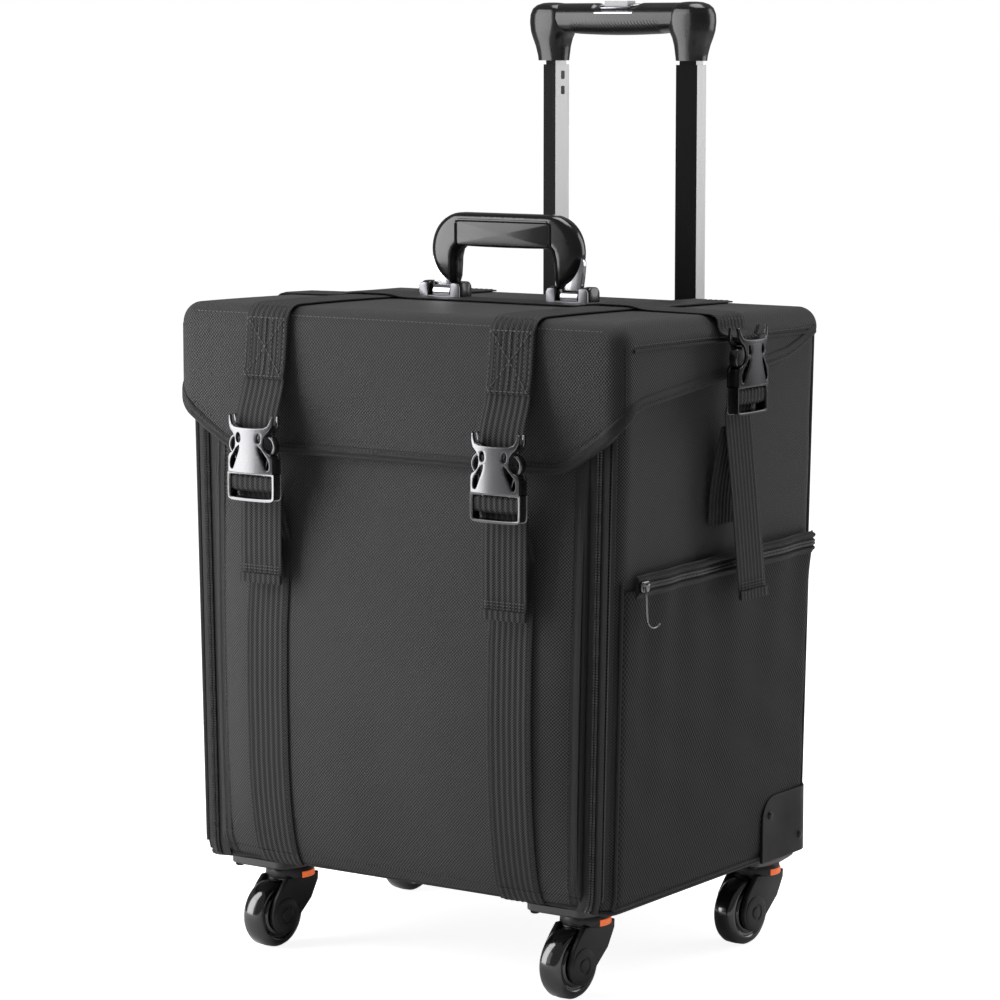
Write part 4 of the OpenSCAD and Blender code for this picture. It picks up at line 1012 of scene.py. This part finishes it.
def socket_parts(place):
    """Socket: two waisted faces, the outer one with four eyes, side walls, upper corners and a top bar."""
    outline = mirrored(SOCKET_HALF)
    eyes = [smooth_ring(np.array(e) * (s, 1), 1) for e in (UPPER_EYE, LONG_EYE) for s in (1, -1)]
    parts = []
    for z0, arch, holes in ((4.1, 2.2, eyes), (-4.1, 0.9, [])):
        def crowned(p):
            """z = z0 + arch * (1 - x^2), less 1.2 mm at the upper end, outwards on either face."""
            crown = arch * (1 - np.clip(np.abs(p[:, 0]) / 21, 0, 1) ** 2)
            fall = 1.2 * np.clip((p[:, 1] - 34) / 10, 0, 1)
            return place(p + np.outer(z0 + np.sign(z0) * (crown - fall), (0, 0, 1)))

        parts.append(plate(outline, holes, 2.6, 0.7, crowned, fine=2.5))
    wall = [(21, 0.3), (21, 10.6), (19.4, 13.4), (17.6, 12.6), (18.9, 9.6), (18.9, 0.3)]
    horn = [(12.2, 31), (17.4, 33.6), (17.8, 37.2), (12.2, 35.2)]
    for s in (1, -1):
        parts.append(plate(np.array(wall) * (s, 1), [], 7.4, 0.5, place))
        parts.append(plate(np.array(horn) * (s, 1), [], 7.4, 0.4, place))
    bar = [(-13, 31.6), (13, 31.6), (13, 34.6), (-13, 34.6)]
    parts.append(plate(bar, [], 2.6, 0.6, lambda p: place(p + (0, 0, 2.6))))
    return parts


def plug_parts(place):
    """Plug: a ladder frame with a bar behind the webbing, two bowed prongs and a middle tongue."""
    outer = smooth_ring([(-21, -1), (-21, -0.4), (-20, -0.4), (20, -0.4), (21, -0.4), (21, -1), (21, -17.5),
                         (20.4, -19.6), (17.6, -20.7), (0, -21.0), (-17.6, -20.7), (-20.4, -19.6),
                         (-21, -17.5)], 1)
    window = smooth_ring([(-19.6, -2.2), (-19.2, -1.4), (19.2, -1.4), (19.6, -2.2), (19.6, -17.8),
                          (18.8, -19.1), (0, -19.6), (-18.8, -19.1), (-19.6, -17.8)], 1)
    parts = [plate(outer, [window], 9.2, 0.8, place)]
    bar = np.array([(x, -10.4, 0) for x in (-19.5, 0, 19.5)])
    parts.append(placed(cord(bar, 1.3, sides=12), place))
    prong = [(11.5, -2), (13.2, 8.4), (16.6, 14.0), (20.2, 17.4), (21.2, 22.6), (18.6, 27.6), (13.8, 29.0)]
    for s in (1, -1):
        path = bend(np.array(prong) * (s, 1), 4, 0.8)
        flat = np.zeros((len(path), 1))
        side = np.hstack([sideways(path), flat])
        parts.append(placed(sweep(np.hstack([path, flat]), side, UP, rounded(1.1, 3.1, 0.8, 4)), place))
    parts.append(placed(pillow((-2.6, -1, -2.4), (2.6, 15, 2.4), 1.0, 0.8), place))
    return parts


def tail_path(length, lean):
    """(across, up, outward) of the webbing: over the ladder's bar, out behind the frame and down."""
    points = [(0, -14.2, -3.6), (0, -13.6, 0.4), (0, -12.2, 2.7), (0, -3.0, 2.9), (0, -1.9, 0.9),
              (0, -3.4, -3.4), (0, -13.0, -5.4), (0, -21.5, -7.3)]
    for t in np.arange(1, 13) / 12:
        points.append((lean * t, -21.5 - (length - 0.5) * t, -7.4 + 0.5 * math.sin(3 * t)))
    return bend(points, 1.6, 1.2)


def make_clip(name, place, length, lean, mat, slot, across):
    """A plug and its webbing's loose end, length and lean in mm, folded double and stitched at the tip."""
    clip = f"{name}_clip"
    merge(f"{name}_frame", plug_parts(place), clip, slot, mat, replaces=(f"{name}_plug",), sharp=32)
    path = place(tail_path(length, lean))
    end = path[-7:]
    normal = np.cross(tangents(end), across)
    back = end - normal * 2.0 if name == "side_left" else end + normal * 2.0
    merge(f"{name}_loose_end", [webbing(path, across), webbing(back, across)], clip, "black_webbing", WEBBING,
          uv=True, replaces=(f"{name}_tail",))
    outward = place(np.array([0, 0, 1.0])) - place(np.zeros(3))
    out = normal[0] * np.sign((normal[0] * outward).sum())
    rows = []
    for k in np.linspace(-12, -4, 5):
        line = path[int(k)] + out * 1.35 + np.linspace(-16.5, 16.5, 12)[:, None] * np.array(across)
        rows.append(stitches(line, out, pitch=2.6, length=1.7))
    merge(f"{name}_end_stitching", rows, clip, "black_webbing", THREAD_GREY)


def make_buckles():
    """Four side-release buckles with their loose strap ends."""
    front, side = [], []
    for s in (1, -1):
        front += socket_parts(front_place(s * STRAP_X))
        side += socket_parts(side_place(s))
    merge("front_buckle_sockets", front, "lid", "buckle_grey", ACETAL_GREY, replaces=("front_sockets",),
          sharp=32)
    merge("side_buckle_sockets", side, "lid", "buckle_black", ACETAL_BLACK, replaces=("side_sockets",),
          sharp=32)
    grey = (ACETAL_GREY, "buckle_grey", ALONG_X)
    black = (ACETAL_BLACK, "buckle_black", ALONG_Y)
    make_clip("front_left", front_place(-STRAP_X), 65, 0, *grey)
    make_clip("front_right", front_place(STRAP_X), 74, 0, *grey)
    make_clip("side_left", side_place(-1), 144, -23, *black)
    make_clip("side_right", side_place(1), 144, 23, *black)


make_buckles()


# ---- side pockets ----

POCKET_LOW, POCKET_TOP, ZIP_Z, SLIDER_Y = 72.0, 295.0, 298.0, -110.0


def side_plan():
    """Plan of the right wall from its front corner's arc to its back corner's, and its outward normals."""
    a = np.linspace(math.radians(62), math.pi / 2, 6)
    front = np.stack([BODY_X - BODY_R + BODY_R * np.sin(a), -BODY_Y + BODY_R - BODY_R * np.cos(a)], -1)
    middle = np.stack([np.full(90, BODY_X), np.linspace(-BODY_Y + BODY_R, BODY_Y - BODY_R, 92)[1:-1]], -1)
    b = np.linspace(0, math.radians(24), 4)
    back = np.stack([BODY_X - BODY_R + BODY_R * np.cos(b), BODY_Y - BODY_R + BODY_R * np.sin(b)], -1)
    plan = np.concatenate([front, middle, back])
    return plan, sideways(plan)


def pocket_off(u, z):
    """How far the pocket stands off the wall: a sag in the middle, and 3.4 * exp(-gap / 24) below its zip."""
    v = (z - POCKET_LOW) / (POCKET_TOP - POCKET_LOW)
    ends = np.clip(u / 0.08, 0, 1) * np.clip((1.02 - u) / 0.03, 0, 1)
    folds = 0.8 * np.sin(2 * math.pi * (5.5 * u + 0.25 * np.sin(5 * u))) * np.exp(-(POCKET_TOP - z) / 70)
    creases = 0.35 * np.sin(2 * math.pi * (3 * u + 4 * v)) * np.sin(math.pi * v)
    sag = 1.8 * np.sin(math.pi * np.clip(u, 0, 1)) ** 0.7 * np.sin(math.pi * np.clip(v, 0, 1)) ** 0.8
    return 1.2 + sag + (3.4 * np.exp(-(POCKET_TOP - z) / 24) + folds + creases) * ends


def wall_points(plan, normal, off, z, sx):
    """The plan pushed out by off at heights z, which rise towards the back by 4.5 mm in 250 at the zip."""
    off, z = np.broadcast_arrays(np.asarray(off, float), z)
    if off.ndim == 2:
        plan, normal = plan[:, None], normal[:, None]
    out = np.concatenate([plan + off[..., None] * normal, z[..., None]], -1)
    out[..., 2] += 4.5 * (out[..., 1] / 250) * np.clip((out[..., 2] - 150) / 140, 0, 1)
    out[..., 0] = sx * taper(out[..., 0], out[..., 2])
    return out


def make_pocket(side, sx):
    """Mesh pocket on the side wall: its plan pushed out by pocket_off, with a zip and bound edges."""
    plan, normal = side_plan()
    s = run_of(plan)
    u = s / s[-1]

    def at(off, z):
        """Points at offsets from this wall and heights, or at one height all along it."""
        return wall_points(plan, normal, off, z if np.ndim(z) else np.full(len(u), z), sx)

    z = np.linspace(POCKET_LOW, POCKET_TOP + 1, 84)[None]
    off = pocket_off(u[:, None], z)
    uv = np.stack(np.broadcast_arrays(s[:, None], z), -1)
    v, f, uv = slab(at(off, z), at(off - 0.9, z), uv)
    cloth = piece(f"{side}_pocket_cloth", v, f, "case", "pocket_mesh", MESH, replaces=(f"{side}_pocket",),
                  uv=uv)

    keep = u > 0.045
    lip = pocket_off(u, np.full(len(u), POCKET_TOP))
    parts = [cord(at(lip + 0.5, ZIP_Z + up)[keep], radius) for up, radius in ((5.2, 1.7), (-4.4, 1.5))]
    outward = np.column_stack([sx * normal[:, 0], normal[:, 1], 0 * s])[keep]
    parts.append(sweep(at(lip - 0.2, ZIP_Z + 0.4)[keep], outward, UP, disc(1, 12) * (0.9, 8.0)))
    parts.append(cord(at(1.2, POCKET_LOW + 0.5), 1.5))
    for k, above in ((0, 2), (-1, 4)):
        z = np.linspace(POCKET_LOW + 0.5, ZIP_Z + above, 60)
        parts.append(cord(rail(*(plan[k] + 1.2 * normal[k]), z) * (sx, 1, 1), 1.3))
    merge(f"{side}_pocket_zip_tape", parts, "case", "zip_coil", TAPE, uv=True,
          replaces=(f"{side}_pocket_zip",))
    fine = np.linspace(0.06, 1, 700)
    path = np.stack([np.interp(fine, u, c) for c in at(lip + 1.0, ZIP_Z).T], 1)
    teeth = [cord(path + (0, 0, up), 1.0, sides=6, ripple=0.2, pitch=1.9) for up in (-1.0, 1.1)]
    merge(f"{side}_pocket_zip_coil", teeth, "case", "zip_coil", COIL)

    k = int(np.argmin(np.abs(plan[:, 1] - SLIDER_Y)))
    make_pocket_pull(side, sx, float(taper(plan[k, 0] + lip[k], ZIP_Z)) + 1.0)


def make_pocket_pull(side, sx, x0):
    """Zip slider standing off the pocket at x0: a rounded shell, a bridge and a bent wire pull."""
    def near(points):
        """Points (out, along, up) from the slider's middle on the right side."""
        return np.array(points) + (x0, SLIDER_Y, ZIP_Z)

    shell = pillow(*near([(0, -5.0, -5.6), (2.6, 5.0, 2.6)]), 2.4, 1.0, axis=0)
    bridge = bend(near([(2, -4, 0), (4.4, -3, 0), (4.4, 2, 0), (2, 3.5, 0)]), 1.5, 0.6)
    wire = bend(near([(3.6, -3, -1), (4.6, -3.5, -7), (3.6, -1, -21), (3.4, 1, -28.5), (3.4, 9, -31.6),
                      (3.4, 16, -29.0)]), 6, 0.8)
    whole = (shell, cord(bridge, 0.7), cord(wire, 0.85, sides=10))
    parts = [placed(part, lambda v: v * (sx, 1, 1)) for part in whole]
    merge(f"{side}_pocket_pull", parts, f"{side}_pocket_slide", "zip_metal", GUNMETAL,
          replaces=(f"{side}_pocket_slider",))


for side, sx in (("left", -1), ("right", 1)):
    make_pocket(side, sx)


# ---- corner guards ----

GUARD_Y, GUARD_TOP, GUARD_CORNER, GUARD_END, GUARD_OFF = 66.0, 117.0, 17.0, 140.0, 4.2


def guard_plan():
    """Plan of the right guard, along the side and round the corner, its normals and its top's heights."""
    a = np.linspace(0, math.pi / 2, 12)
    along = np.stack([np.full(26, BODY_X), np.linspace(GUARD_Y, BODY_Y - BODY_R, 26)], -1)[:-1]
    along[:8, 1] = GUARD_Y + GUARD_CORNER * (1 - np.cos(np.linspace(0, math.pi / 2, 8)))
    corner = np.stack([BODY_X - BODY_R + BODY_R * np.cos(a), BODY_Y - BODY_R + BODY_R * np.sin(a)], -1)
    behind = np.stack([np.linspace(BODY_X - BODY_R, GUARD_END, 12), np.full(12, BODY_Y)], -1)[1:]
    plan = np.concatenate([along, corner, behind])
    run = np.clip(GUARD_CORNER - run_of(plan), 0, None)
    top = GUARD_TOP - GUARD_CORNER + np.sqrt(GUARD_CORNER ** 2 - run ** 2)
    return plan, sideways(plan), top


def make_guards():
    """Moulded guards round the two rear bottom corners, their front top corner rounded, with rivets."""
    plan, normal, top = guard_plan()
    low = BASE_Z + 1.5
    z = low + (top - low)[:, None] * np.linspace(0, 1, 12)[None]
    for side, sx in (("left", -1), ("right", 1)):
        skins = []
        for off in (GUARD_OFF, GUARD_OFF - 2.8):
            p = plan[:, None] + off * normal[:, None] + 0 * z[..., None]
            p = np.concatenate([p, z[..., None]], -1)
            p[..., 0] = sx * (p[..., 0] * BOTTOM_X / BODY_X + 0.2)
            skins.append(p)
        merge(f"{side}_guard_shell", [slab(*skins)], "case", "guard_plastic", GUARD,
              replaces=(f"{side}_corner_guard",), bevel=0.8)
    parts = []
    face = (BODY_X + GUARD_OFF) * BOTTOM_X / BODY_X
    head = lathe([(0, 3.4), (0.5, 3.3), (1.2, 2.4), (1.5, 1.0)], 20)
    for sx in (-1, 1):
        for y, z0 in ((GUARD_Y + 10.5, 103), (120, 81)):
            parts.append(placed(head, lambda v: (v + (face, y, z0)) * (sx, 1, 1)))
    merge("guard_rivet_heads", parts, "case", "rivet_steel", RIVET, replaces=("guard_rivets",))


make_guards()


# ---- castors ----

CASTORS = {"front_left": (-131, -92.5), "front_right": (131, -92.5), "rear_left": (-152, 109),
           "rear_right": (152, 109)}
YAW, TRAIL, WHEEL_R, AXLE_Z, CROWN_Z, CROWN_R = math.radians(-5), 19.0, 25.0, 25.0, 51.0, 17.6


def arm_outline():
    """Side view (back, up) of a fork arm: straight sides from the crown, tangent to a disc round the axle."""
    a = np.linspace(math.radians(200), math.radians(385), 28)
    hub = np.stack([TRAIL + 14.2 * np.cos(a), AXLE_Z + 14.2 * np.sin(a)], -1)
    return np.concatenate([[(-16.8, CROWN_Z + 1), (-16.4, 46), (-9, 33)], hub,
                           [(29.5, 38), (22.5, 46.5), (17.0, CROWN_Z + 1)]])


# Half profiles about the axle or the swivel, as (distance along it, radius).
CROWN = [(59.5, 15.5), (59.2, 17.0), (58.4, CROWN_R), (52.2, CROWN_R + 0.5), (50.6, CROWN_R - 0.2),
         (49.6, 15.0)]
HUB_CAP = [(1.9, 12.6), (2.6, 12.2), (3.0, 11.2), (3.0, 6.6), (2.5, 6.2), (2.5, 4.6), (3.2, 4.2), (3.5, 3.0)]
TYRE_HALF = [(0.6, WHEEL_R), (5.4, WHEEL_R - 0.25), (7.3, WHEEL_R - 1.4), (8.5, WHEEL_R - 3.6), (8.9, 19.6),
             (8.6, 18.4), (7.4, 17.8), (7.2, 16.4), (8.4, 15.8), (8.9, 14.8), (8.9, 5.0)]
# The dish from the top down: z, half sizes in x and y, and its corners' radius.
DISH_LEVELS = [(69.6, 24, 30.2, 6), (65.2, 24, 30.2, 6), (63.8, 23.2, 29.4, 6), (61.6, 21, 25.5, 10),
               (59.6, 18.8, 20.5, 15)]


def make_fork(name, place):
    """Crown, two arms with hub caps, the block between them and the axle."""
    parts = [placed(lathe(CROWN, 56), lambda v: place(v[:, [1, 2, 0]]))]
    for side in (-1, 1):
        middle = side * 11.75
        parts.append(plate(arm_outline(), [], 4.2, 1.2, lambda p: place(p[:, [2, 0, 1]] + (middle, 0, 0))))
        cap = lathe([(middle + side * a, r) for a, r in HUB_CAP], 44)
        parts.append(placed(cap, lambda v: place(v + (0, TRAIL, AXLE_Z))))
    parts.append(placed(pillow((-13, -16, 46.5), (13, 15.5, 51.5), 6, 2.0), place))
    parts.append(placed(lathe([(-10.5, 4.0), (10.5, 4.0)], 20), lambda v: place(v + (0, TRAIL, AXLE_Z))))
    merge(f"{name}_fork_housing", parts, f"castor_{name}", "castor_plastic", NYLON6,
          replaces=(f"fork_{name}",), sharp=35)


def make_mark(name, cx, cy):
    """Orange mark bent round the crown's front; its material glows with painted light."""
    angle = np.linspace(math.radians(-22), math.radians(36), 20)[:, None]
    z = np.linspace(51.0, 55.4, 5)[None]
    skins = [np.stack(np.broadcast_arrays(cx + r * np.cos(angle), cy + r * np.sin(angle), z), -1)
             for r in (CROWN_R + 0.9, CROWN_R - 0.6)]
    merge(f"{name}_mark", [slab(*skins)], f"castor_{name}", "castor_plastic", ORANGE_PAINTED_GLOW, bevel=0.3)


def make_castors():
    """Castors: a dished plate with screws, a fork with hub caps, an orange mark and a glossy wheel."""
    plates, screws = [], []
    axle = np.array([math.cos(YAW), math.sin(YAW), 0])
    behind = np.array([math.sin(YAW), -math.cos(YAW), 0])
    for name, (cx, cy) in CASTORS.items():
        def place(p):
            """(along the axle, back from the swivel, up) to the case's frame."""
            return np.array([cx, cy, 0]) + p[..., :1] * axle + p[..., 1:2] * behind + p[..., 2:] * UP

        level = []
        for z, x, y, r in DISH_LEVELS:
            ring = rounded(x, y, r) + (cx, cy - 11.75 * (y - 18.5) / 12)
            level.append(np.column_stack([ring, np.full(len(ring), z)]))
        plates.append(loft(np.array(level)))
        head = lathe([(0, 3.4), (0.7, 3.2), (1.2, 2.2)], 18)
        for bx, by in ((-18, 13), (18, 13), (-18, -36.5), (18, -36.5)):
            screws.append(placed(head, lambda v: v[:, [1, 2, 0]] * (1, 1, -1) + (cx + bx, cy + by, 63.2)))
        make_fork(name, place)
        make_mark(name, cx, cy)
        tyre = lathe([(-a, r) for a, r in TYRE_HALF[::-1]] + TYRE_HALF, 72)
        merge(f"{name}_tyre", [placed(tyre, lambda v: place(v + (0, TRAIL, AXLE_Z)))], f"roller_{name}",
              "wheel_rubber", TYRE, replaces=(f"wheel_{name}",), sharp=50)
    merge("castor_screw_heads", screws, "case", "rivet_steel", RIVET, replaces=("castor_screws",))
    merge("castor_dishes", plates, "case", "castor_plastic", DISH, replaces=("castor_plates",), sharp=35)


make_castors()


# ---- pull handle ----

TUBE_X, TUBE_Y, BAR_Z = 61.6, 157.4, 683.2
BARREL_Y, BARREL_Z = 13.2, 11.3
# Each boot from the bottom up: z, inner and outer x, half depth and its corners' radius.
BOOT_LEVELS = [(651, 50.4, 73.4, 9.6, 8), (655, 50.0, 73.8, 10.2, 8.5), (662, 49.2, 75.6, 11.6, 10),
               (668, 47.8, 77.8, 12.9, 11), (673, 45.4, 79.4, 13.6, 11.5), (680, 43.4, 80.4, 13.9, 12),
               (686, 43.8, 80.0, 13.8, 12), (690.5, 45.6, 78.2, 12.8, 11.5), (693.2, 49.6, 75.0, 10.6, 10),
               (694.7, 54.5, 70.5, 7.2, 7), (695.1, 59, 66, 3.4, 3.2)]


def grip_barrel():
    """Barrel along X: squarish, with slanted ribs of 2.9 mm pitch and a belly below, a dip at the button."""
    unit = squarish(72, 0.82)
    X, C = np.meshgrid(np.linspace(-53, 53, 360), unit[:, 1], indexing="ij")
    S = np.broadcast_to(unit[:, 0], X.shape)
    belly = 1.4 * np.cos(np.clip(X / 46, -1, 1) * math.pi / 2) * np.clip(-C, 0, 1)
    below = np.clip(-C * 2.2 - 0.4, 0, 1) * np.clip((41 - np.abs(X)) / 3, 0, 1)
    ribs = 0.32 * np.sin(2 * math.pi * (X + 9 * C) / 2.9) * below
    dip = 1.5 * np.clip((21 - np.abs(X)) / 3, 0, 1) * np.clip(C * 3 - 1.6, 0, 1)
    dip = dip * np.clip((14 - np.abs(S * 13.5)) / 3, 0, 1)
    y = TUBE_Y + S * (BARREL_Y + ribs)
    z = BAR_Z + C * (BARREL_Z + ribs) - belly - dip
    return loft(np.stack([X, y, z], -1))


def make_trolley_grip():
    """Grip: a barrel between two boots, a bright bar and ring by the button, and marks of the tube's lock."""
    parts = [grip_barrel()]
    keys = np.array(BOOT_LEVELS)
    at = np.linspace(0, len(keys) - 1, 40)
    smooth = np.stack([np.interp(at, np.arange(len(keys)), c) for c in keys.T], 1)
    for sx in (-1, 1):
        level = []
        for z, x0, x1, dy, r in smooth:
            ring = rounded((x1 - x0) / 2, dy, min(r, (x1 - x0) / 2 - 0.1), corners=9)
            ring = (ring + ((x0 + x1) / 2, TUBE_Y)) * (sx, 1)
            level.append(np.column_stack([ring, np.full(len(ring), z)]))
        parts.append(loft(np.array(level)))
    merge("trolley_grip_shell", parts, "pull_handle", "grip_plastic", SOFT_GRIP, replaces=("trolley_grip",),
          sharp=42)

    top = BAR_Z + BARREL_Z
    bar = [(x, TUBE_Y - 12.3, top - 7.2) for x in (17.5, 16.9, -16.9, -17.5)]
    sizes = np.array([(0.3, 0.6), (0.9, 1.3), (0.9, 1.3), (0.3, 0.6)])
    bar = sweep(bar, (0, -0.77, 0.64), (0, 0.64, 0.77), disc(1, 12) * sizes[:, None])
    x, y = rounded(14.5, 8.2, 3, corners=8).T
    ring = np.stack([x, TUBE_Y - 3 + y, top - 1.2 - 0.035 * y ** 2 * (y < 0)], -1)
    merge("trolley_grip_trim", [bar, cord(ring, 0.7, closed=True)], "pull_handle", "button_silver", CHROME)
    marks = []
    for z in (640, 628.4):
        marks.append(pillow((-TUBE_X + 7.3, TUBE_Y - 1.6, z - 3.2), (-TUBE_X + 7.75, TUBE_Y + 3.0, z + 3.2),
                            1.0, 0.15, axis=0))
    merge("tube_lock_marks", marks, "middle_stage", "outer_tube", NYLON6)


make_trolley_grip()


# ---- carry handle ----

CARRY_Y, BRACKET_X, BRACKET_Z, PIVOT_Z = 3.8, 56.25, 475.1, 482.1
CARRY_TOP, BAR_LOW, DISC_X, DISC_R, DISC_Z, RECESS_X = 541.1, 516.5, 38.8, 26.6, 514.0, 41.5


def carry_half():
    """Right half of the grip's front view: along the top, round the end's disc, back along the bottom."""
    a = np.radians(np.linspace(90, -62, 26))
    up = np.where(np.sin(a) > 0, np.sin(a), np.sin(a) * 0.98)
    arc = np.stack([DISC_X + DISC_R * np.cos(a), DISC_Z + (CARRY_TOP - DISC_Z) * up], -1)
    under = [(48.6, 487.5), (45.0, 488.5), (43.4, 494), (43.0, 508), (41.6, 513.5), (38, BAR_LOW),
             (20, BAR_LOW - 0.3), (0, BAR_LOW - 0.4)]
    return np.concatenate([[(0, CARRY_TOP), (20, CARRY_TOP)], arc, under])


def make_carry_grip():
    """Moulded grip with a recessed front, a raised lip round it and a ridge down each end."""
    half = carry_half()
    outline = np.concatenate([half, (half * (-1, 1))[::-1][1:-1]])

    def swell(p):
        """The moulding is 16 mm deep, less a share of 0.22 * reach^2 towards the ends' rims."""
        beyond = np.hypot(np.clip(np.abs(p[:, 0]) - DISC_X, 0, None), np.clip(DISC_Z - p[:, 1], 0, None))
        reach = np.clip(beyond / DISC_R, 0, 1)
        return np.stack([p[:, 0], CARRY_Y - p[:, 2] * (1 - 0.22 * reach ** 2), p[:, 1]], -1)

    front = CARRY_Y - 8.0
    rim = [(-RECESS_X, BAR_LOW + 1.6), (-RECESS_X, 535.8), (RECESS_X, 535.8), (RECESS_X, BAR_LOW + 1.6)]
    parts = [plate(outline, [], 16.0, 5.0, swell, fine=5.0)]
    parts.append(cord(bend([(x, front + 0.1, z) for x, z in rim], 3.5, 1.0), 1.1))
    ridge = [(RECESS_X, 0.1, BAR_LOW + 2), (RECESS_X + 3, 0.3, BAR_LOW - 1.5), (46.5, 0.6, 508),
             (47, 1.3, 496), (47.5, 3, 490)]
    for sx in (-1, 1):
        parts.append(cord(bend([(sx * x, front + y, z) for x, y, z in ridge], 5, 1.0), 1.0))
    merge("carry_grip_shell", parts, "carry_handle", "carry_plastic", HANDLE_ABS, replaces=("carry_grip",),
          sharp=38)
    panel = pillow((1.3 - RECESS_X, front - 0.25, BAR_LOW + 1.2), (RECESS_X - 1.3, front + 1.2, 534.8), 2.0,
                   0.5, axis=1)
    merge("carry_grip_panel", [panel], "carry_handle", "carry_plastic", SOFT_GRIP)


ARM = [(-7.0, -3.5), (-5.0, -6.5), (0, -7.6), (5.0, -6.5), (7.3, -3.0), (8.6, 8), (10.2, 19), (10.4, 30),
       (-6, 30), (-7.6, 16)]
BRACKET_FACE = [(-17.9, 0), (17.9, 0), (17.9, 11.4), (16.4, 13.8), (13.6, 14.4), (10.6, 14.0), (10.2, 12.6),
                (10.0, 4.4), (-10.0, 4.4), (-10.2, 12.6), (-10.6, 14.0), (-13.6, 14.4), (-16.4, 13.8),
                (-17.9, 11.4)]


def make_carry_ends():
    """Silver arms in the grip's ends, and two brackets on the lid: U-shaped faces, black blocks, a rod."""
    arms, silver, black = [], [], []
    for sx in (-1, 1):
        mid = sx * BRACKET_X
        arms.append(plate(smooth_ring(np.array(ARM) * (sx, 1), 2), [], 5.0, 0.7,
                          lambda p: np.stack([mid + p[:, 0], CARRY_Y - p[:, 2], PIVOT_Z + p[:, 1]], -1)))
        eye = lathe([(-7.6, 5.0), (-7.3, 5.8), (7.3, 5.8), (7.6, 5.0)], 32)
        arms.append(placed(eye, lambda v: v + (mid, CARRY_Y, PIVOT_Z)))
        silver.append(plate(BRACKET_FACE, [], 2.0, 0.5, lambda p: np.stack(
            [mid + p[:, 0], CARRY_Y - 7.6 - p[:, 2], BRACKET_Z - 0.3 + p[:, 1]], -1)))
        for k in (-1, 1):
            lo, hi = sorted((mid + k * 10.3, mid + k * 18.1))
            black.append(pillow((lo, CARRY_Y - 6.6, BRACKET_Z - 0.2), (hi, CARRY_Y + 8.6, BRACKET_Z + 14.9),
                                5.0, 1.2, axis=0))
        black.append(pillow((mid - 17.6, CARRY_Y - 6.5, BRACKET_Z - 0.9),
                            (mid + 17.6, CARRY_Y + 8.4, BRACKET_Z + 1.4), 2, 0.6))
        rod = lathe([(-10.4, 1.5), (10.4, 1.5)], 16)
        silver.append(placed(rod, lambda v: v + (mid, CARRY_Y - 7.0, BRACKET_Z + 3.4)))
    merge("carry_arm_plates", arms, "carry_handle", "handle_chrome", CHROME, replaces=("carry_arms",),
          sharp=35)
    merge("bracket_faces", silver, "lid", "handle_chrome", NICKEL, replaces=("handle_brackets",), sharp=35)
    merge("bracket_blocks", black, "lid", "handle_chrome", HANDLE_ABS, sharp=35)


make_carry_grip()
make_carry_ends()


# ---- CAD nodes that keep their shape ----

def finish_nodes():
    """Real finishes on the nodes that stay, the cord along the lid's hinge and the binding beside it."""
    keep = {"outer_tubes": TUBE_BLACK, "mid_tubes": TUBE_BRIGHT, "inner_tubes": TUBE_BRIGHT,
            "trolley_bracket": GUARD, "trolley_foot": GUARD, "handle_pins": CHROME, "trolley_button": LACQUER,
            "left_front_slider": ZINC, "right_front_slider": ZINC}
    for name, mat in keep.items():
        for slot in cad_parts[name].material_slots:
            slot.material = mat
    hinge = np.column_stack([np.linspace(-172, 172, 200), np.full(200, 133.0), np.full(200, 463.5)])
    merge("hinge_piping", [cord(hinge, 2.5, sides=14, ripple=0.03, pitch=9)], "case", "binding_tape", TAPE,
          uv=True, replaces=("hinge_cord",))
    edge = np.column_stack([np.linspace(-184, 184, 200), np.full(200, 130.7), np.full(200, 464.2)])
    merge("lid_back_binding", [cord(edge, 1.7, sides=14)], "lid", "binding_tape", TAPE, uv=True)


finish_nodes()
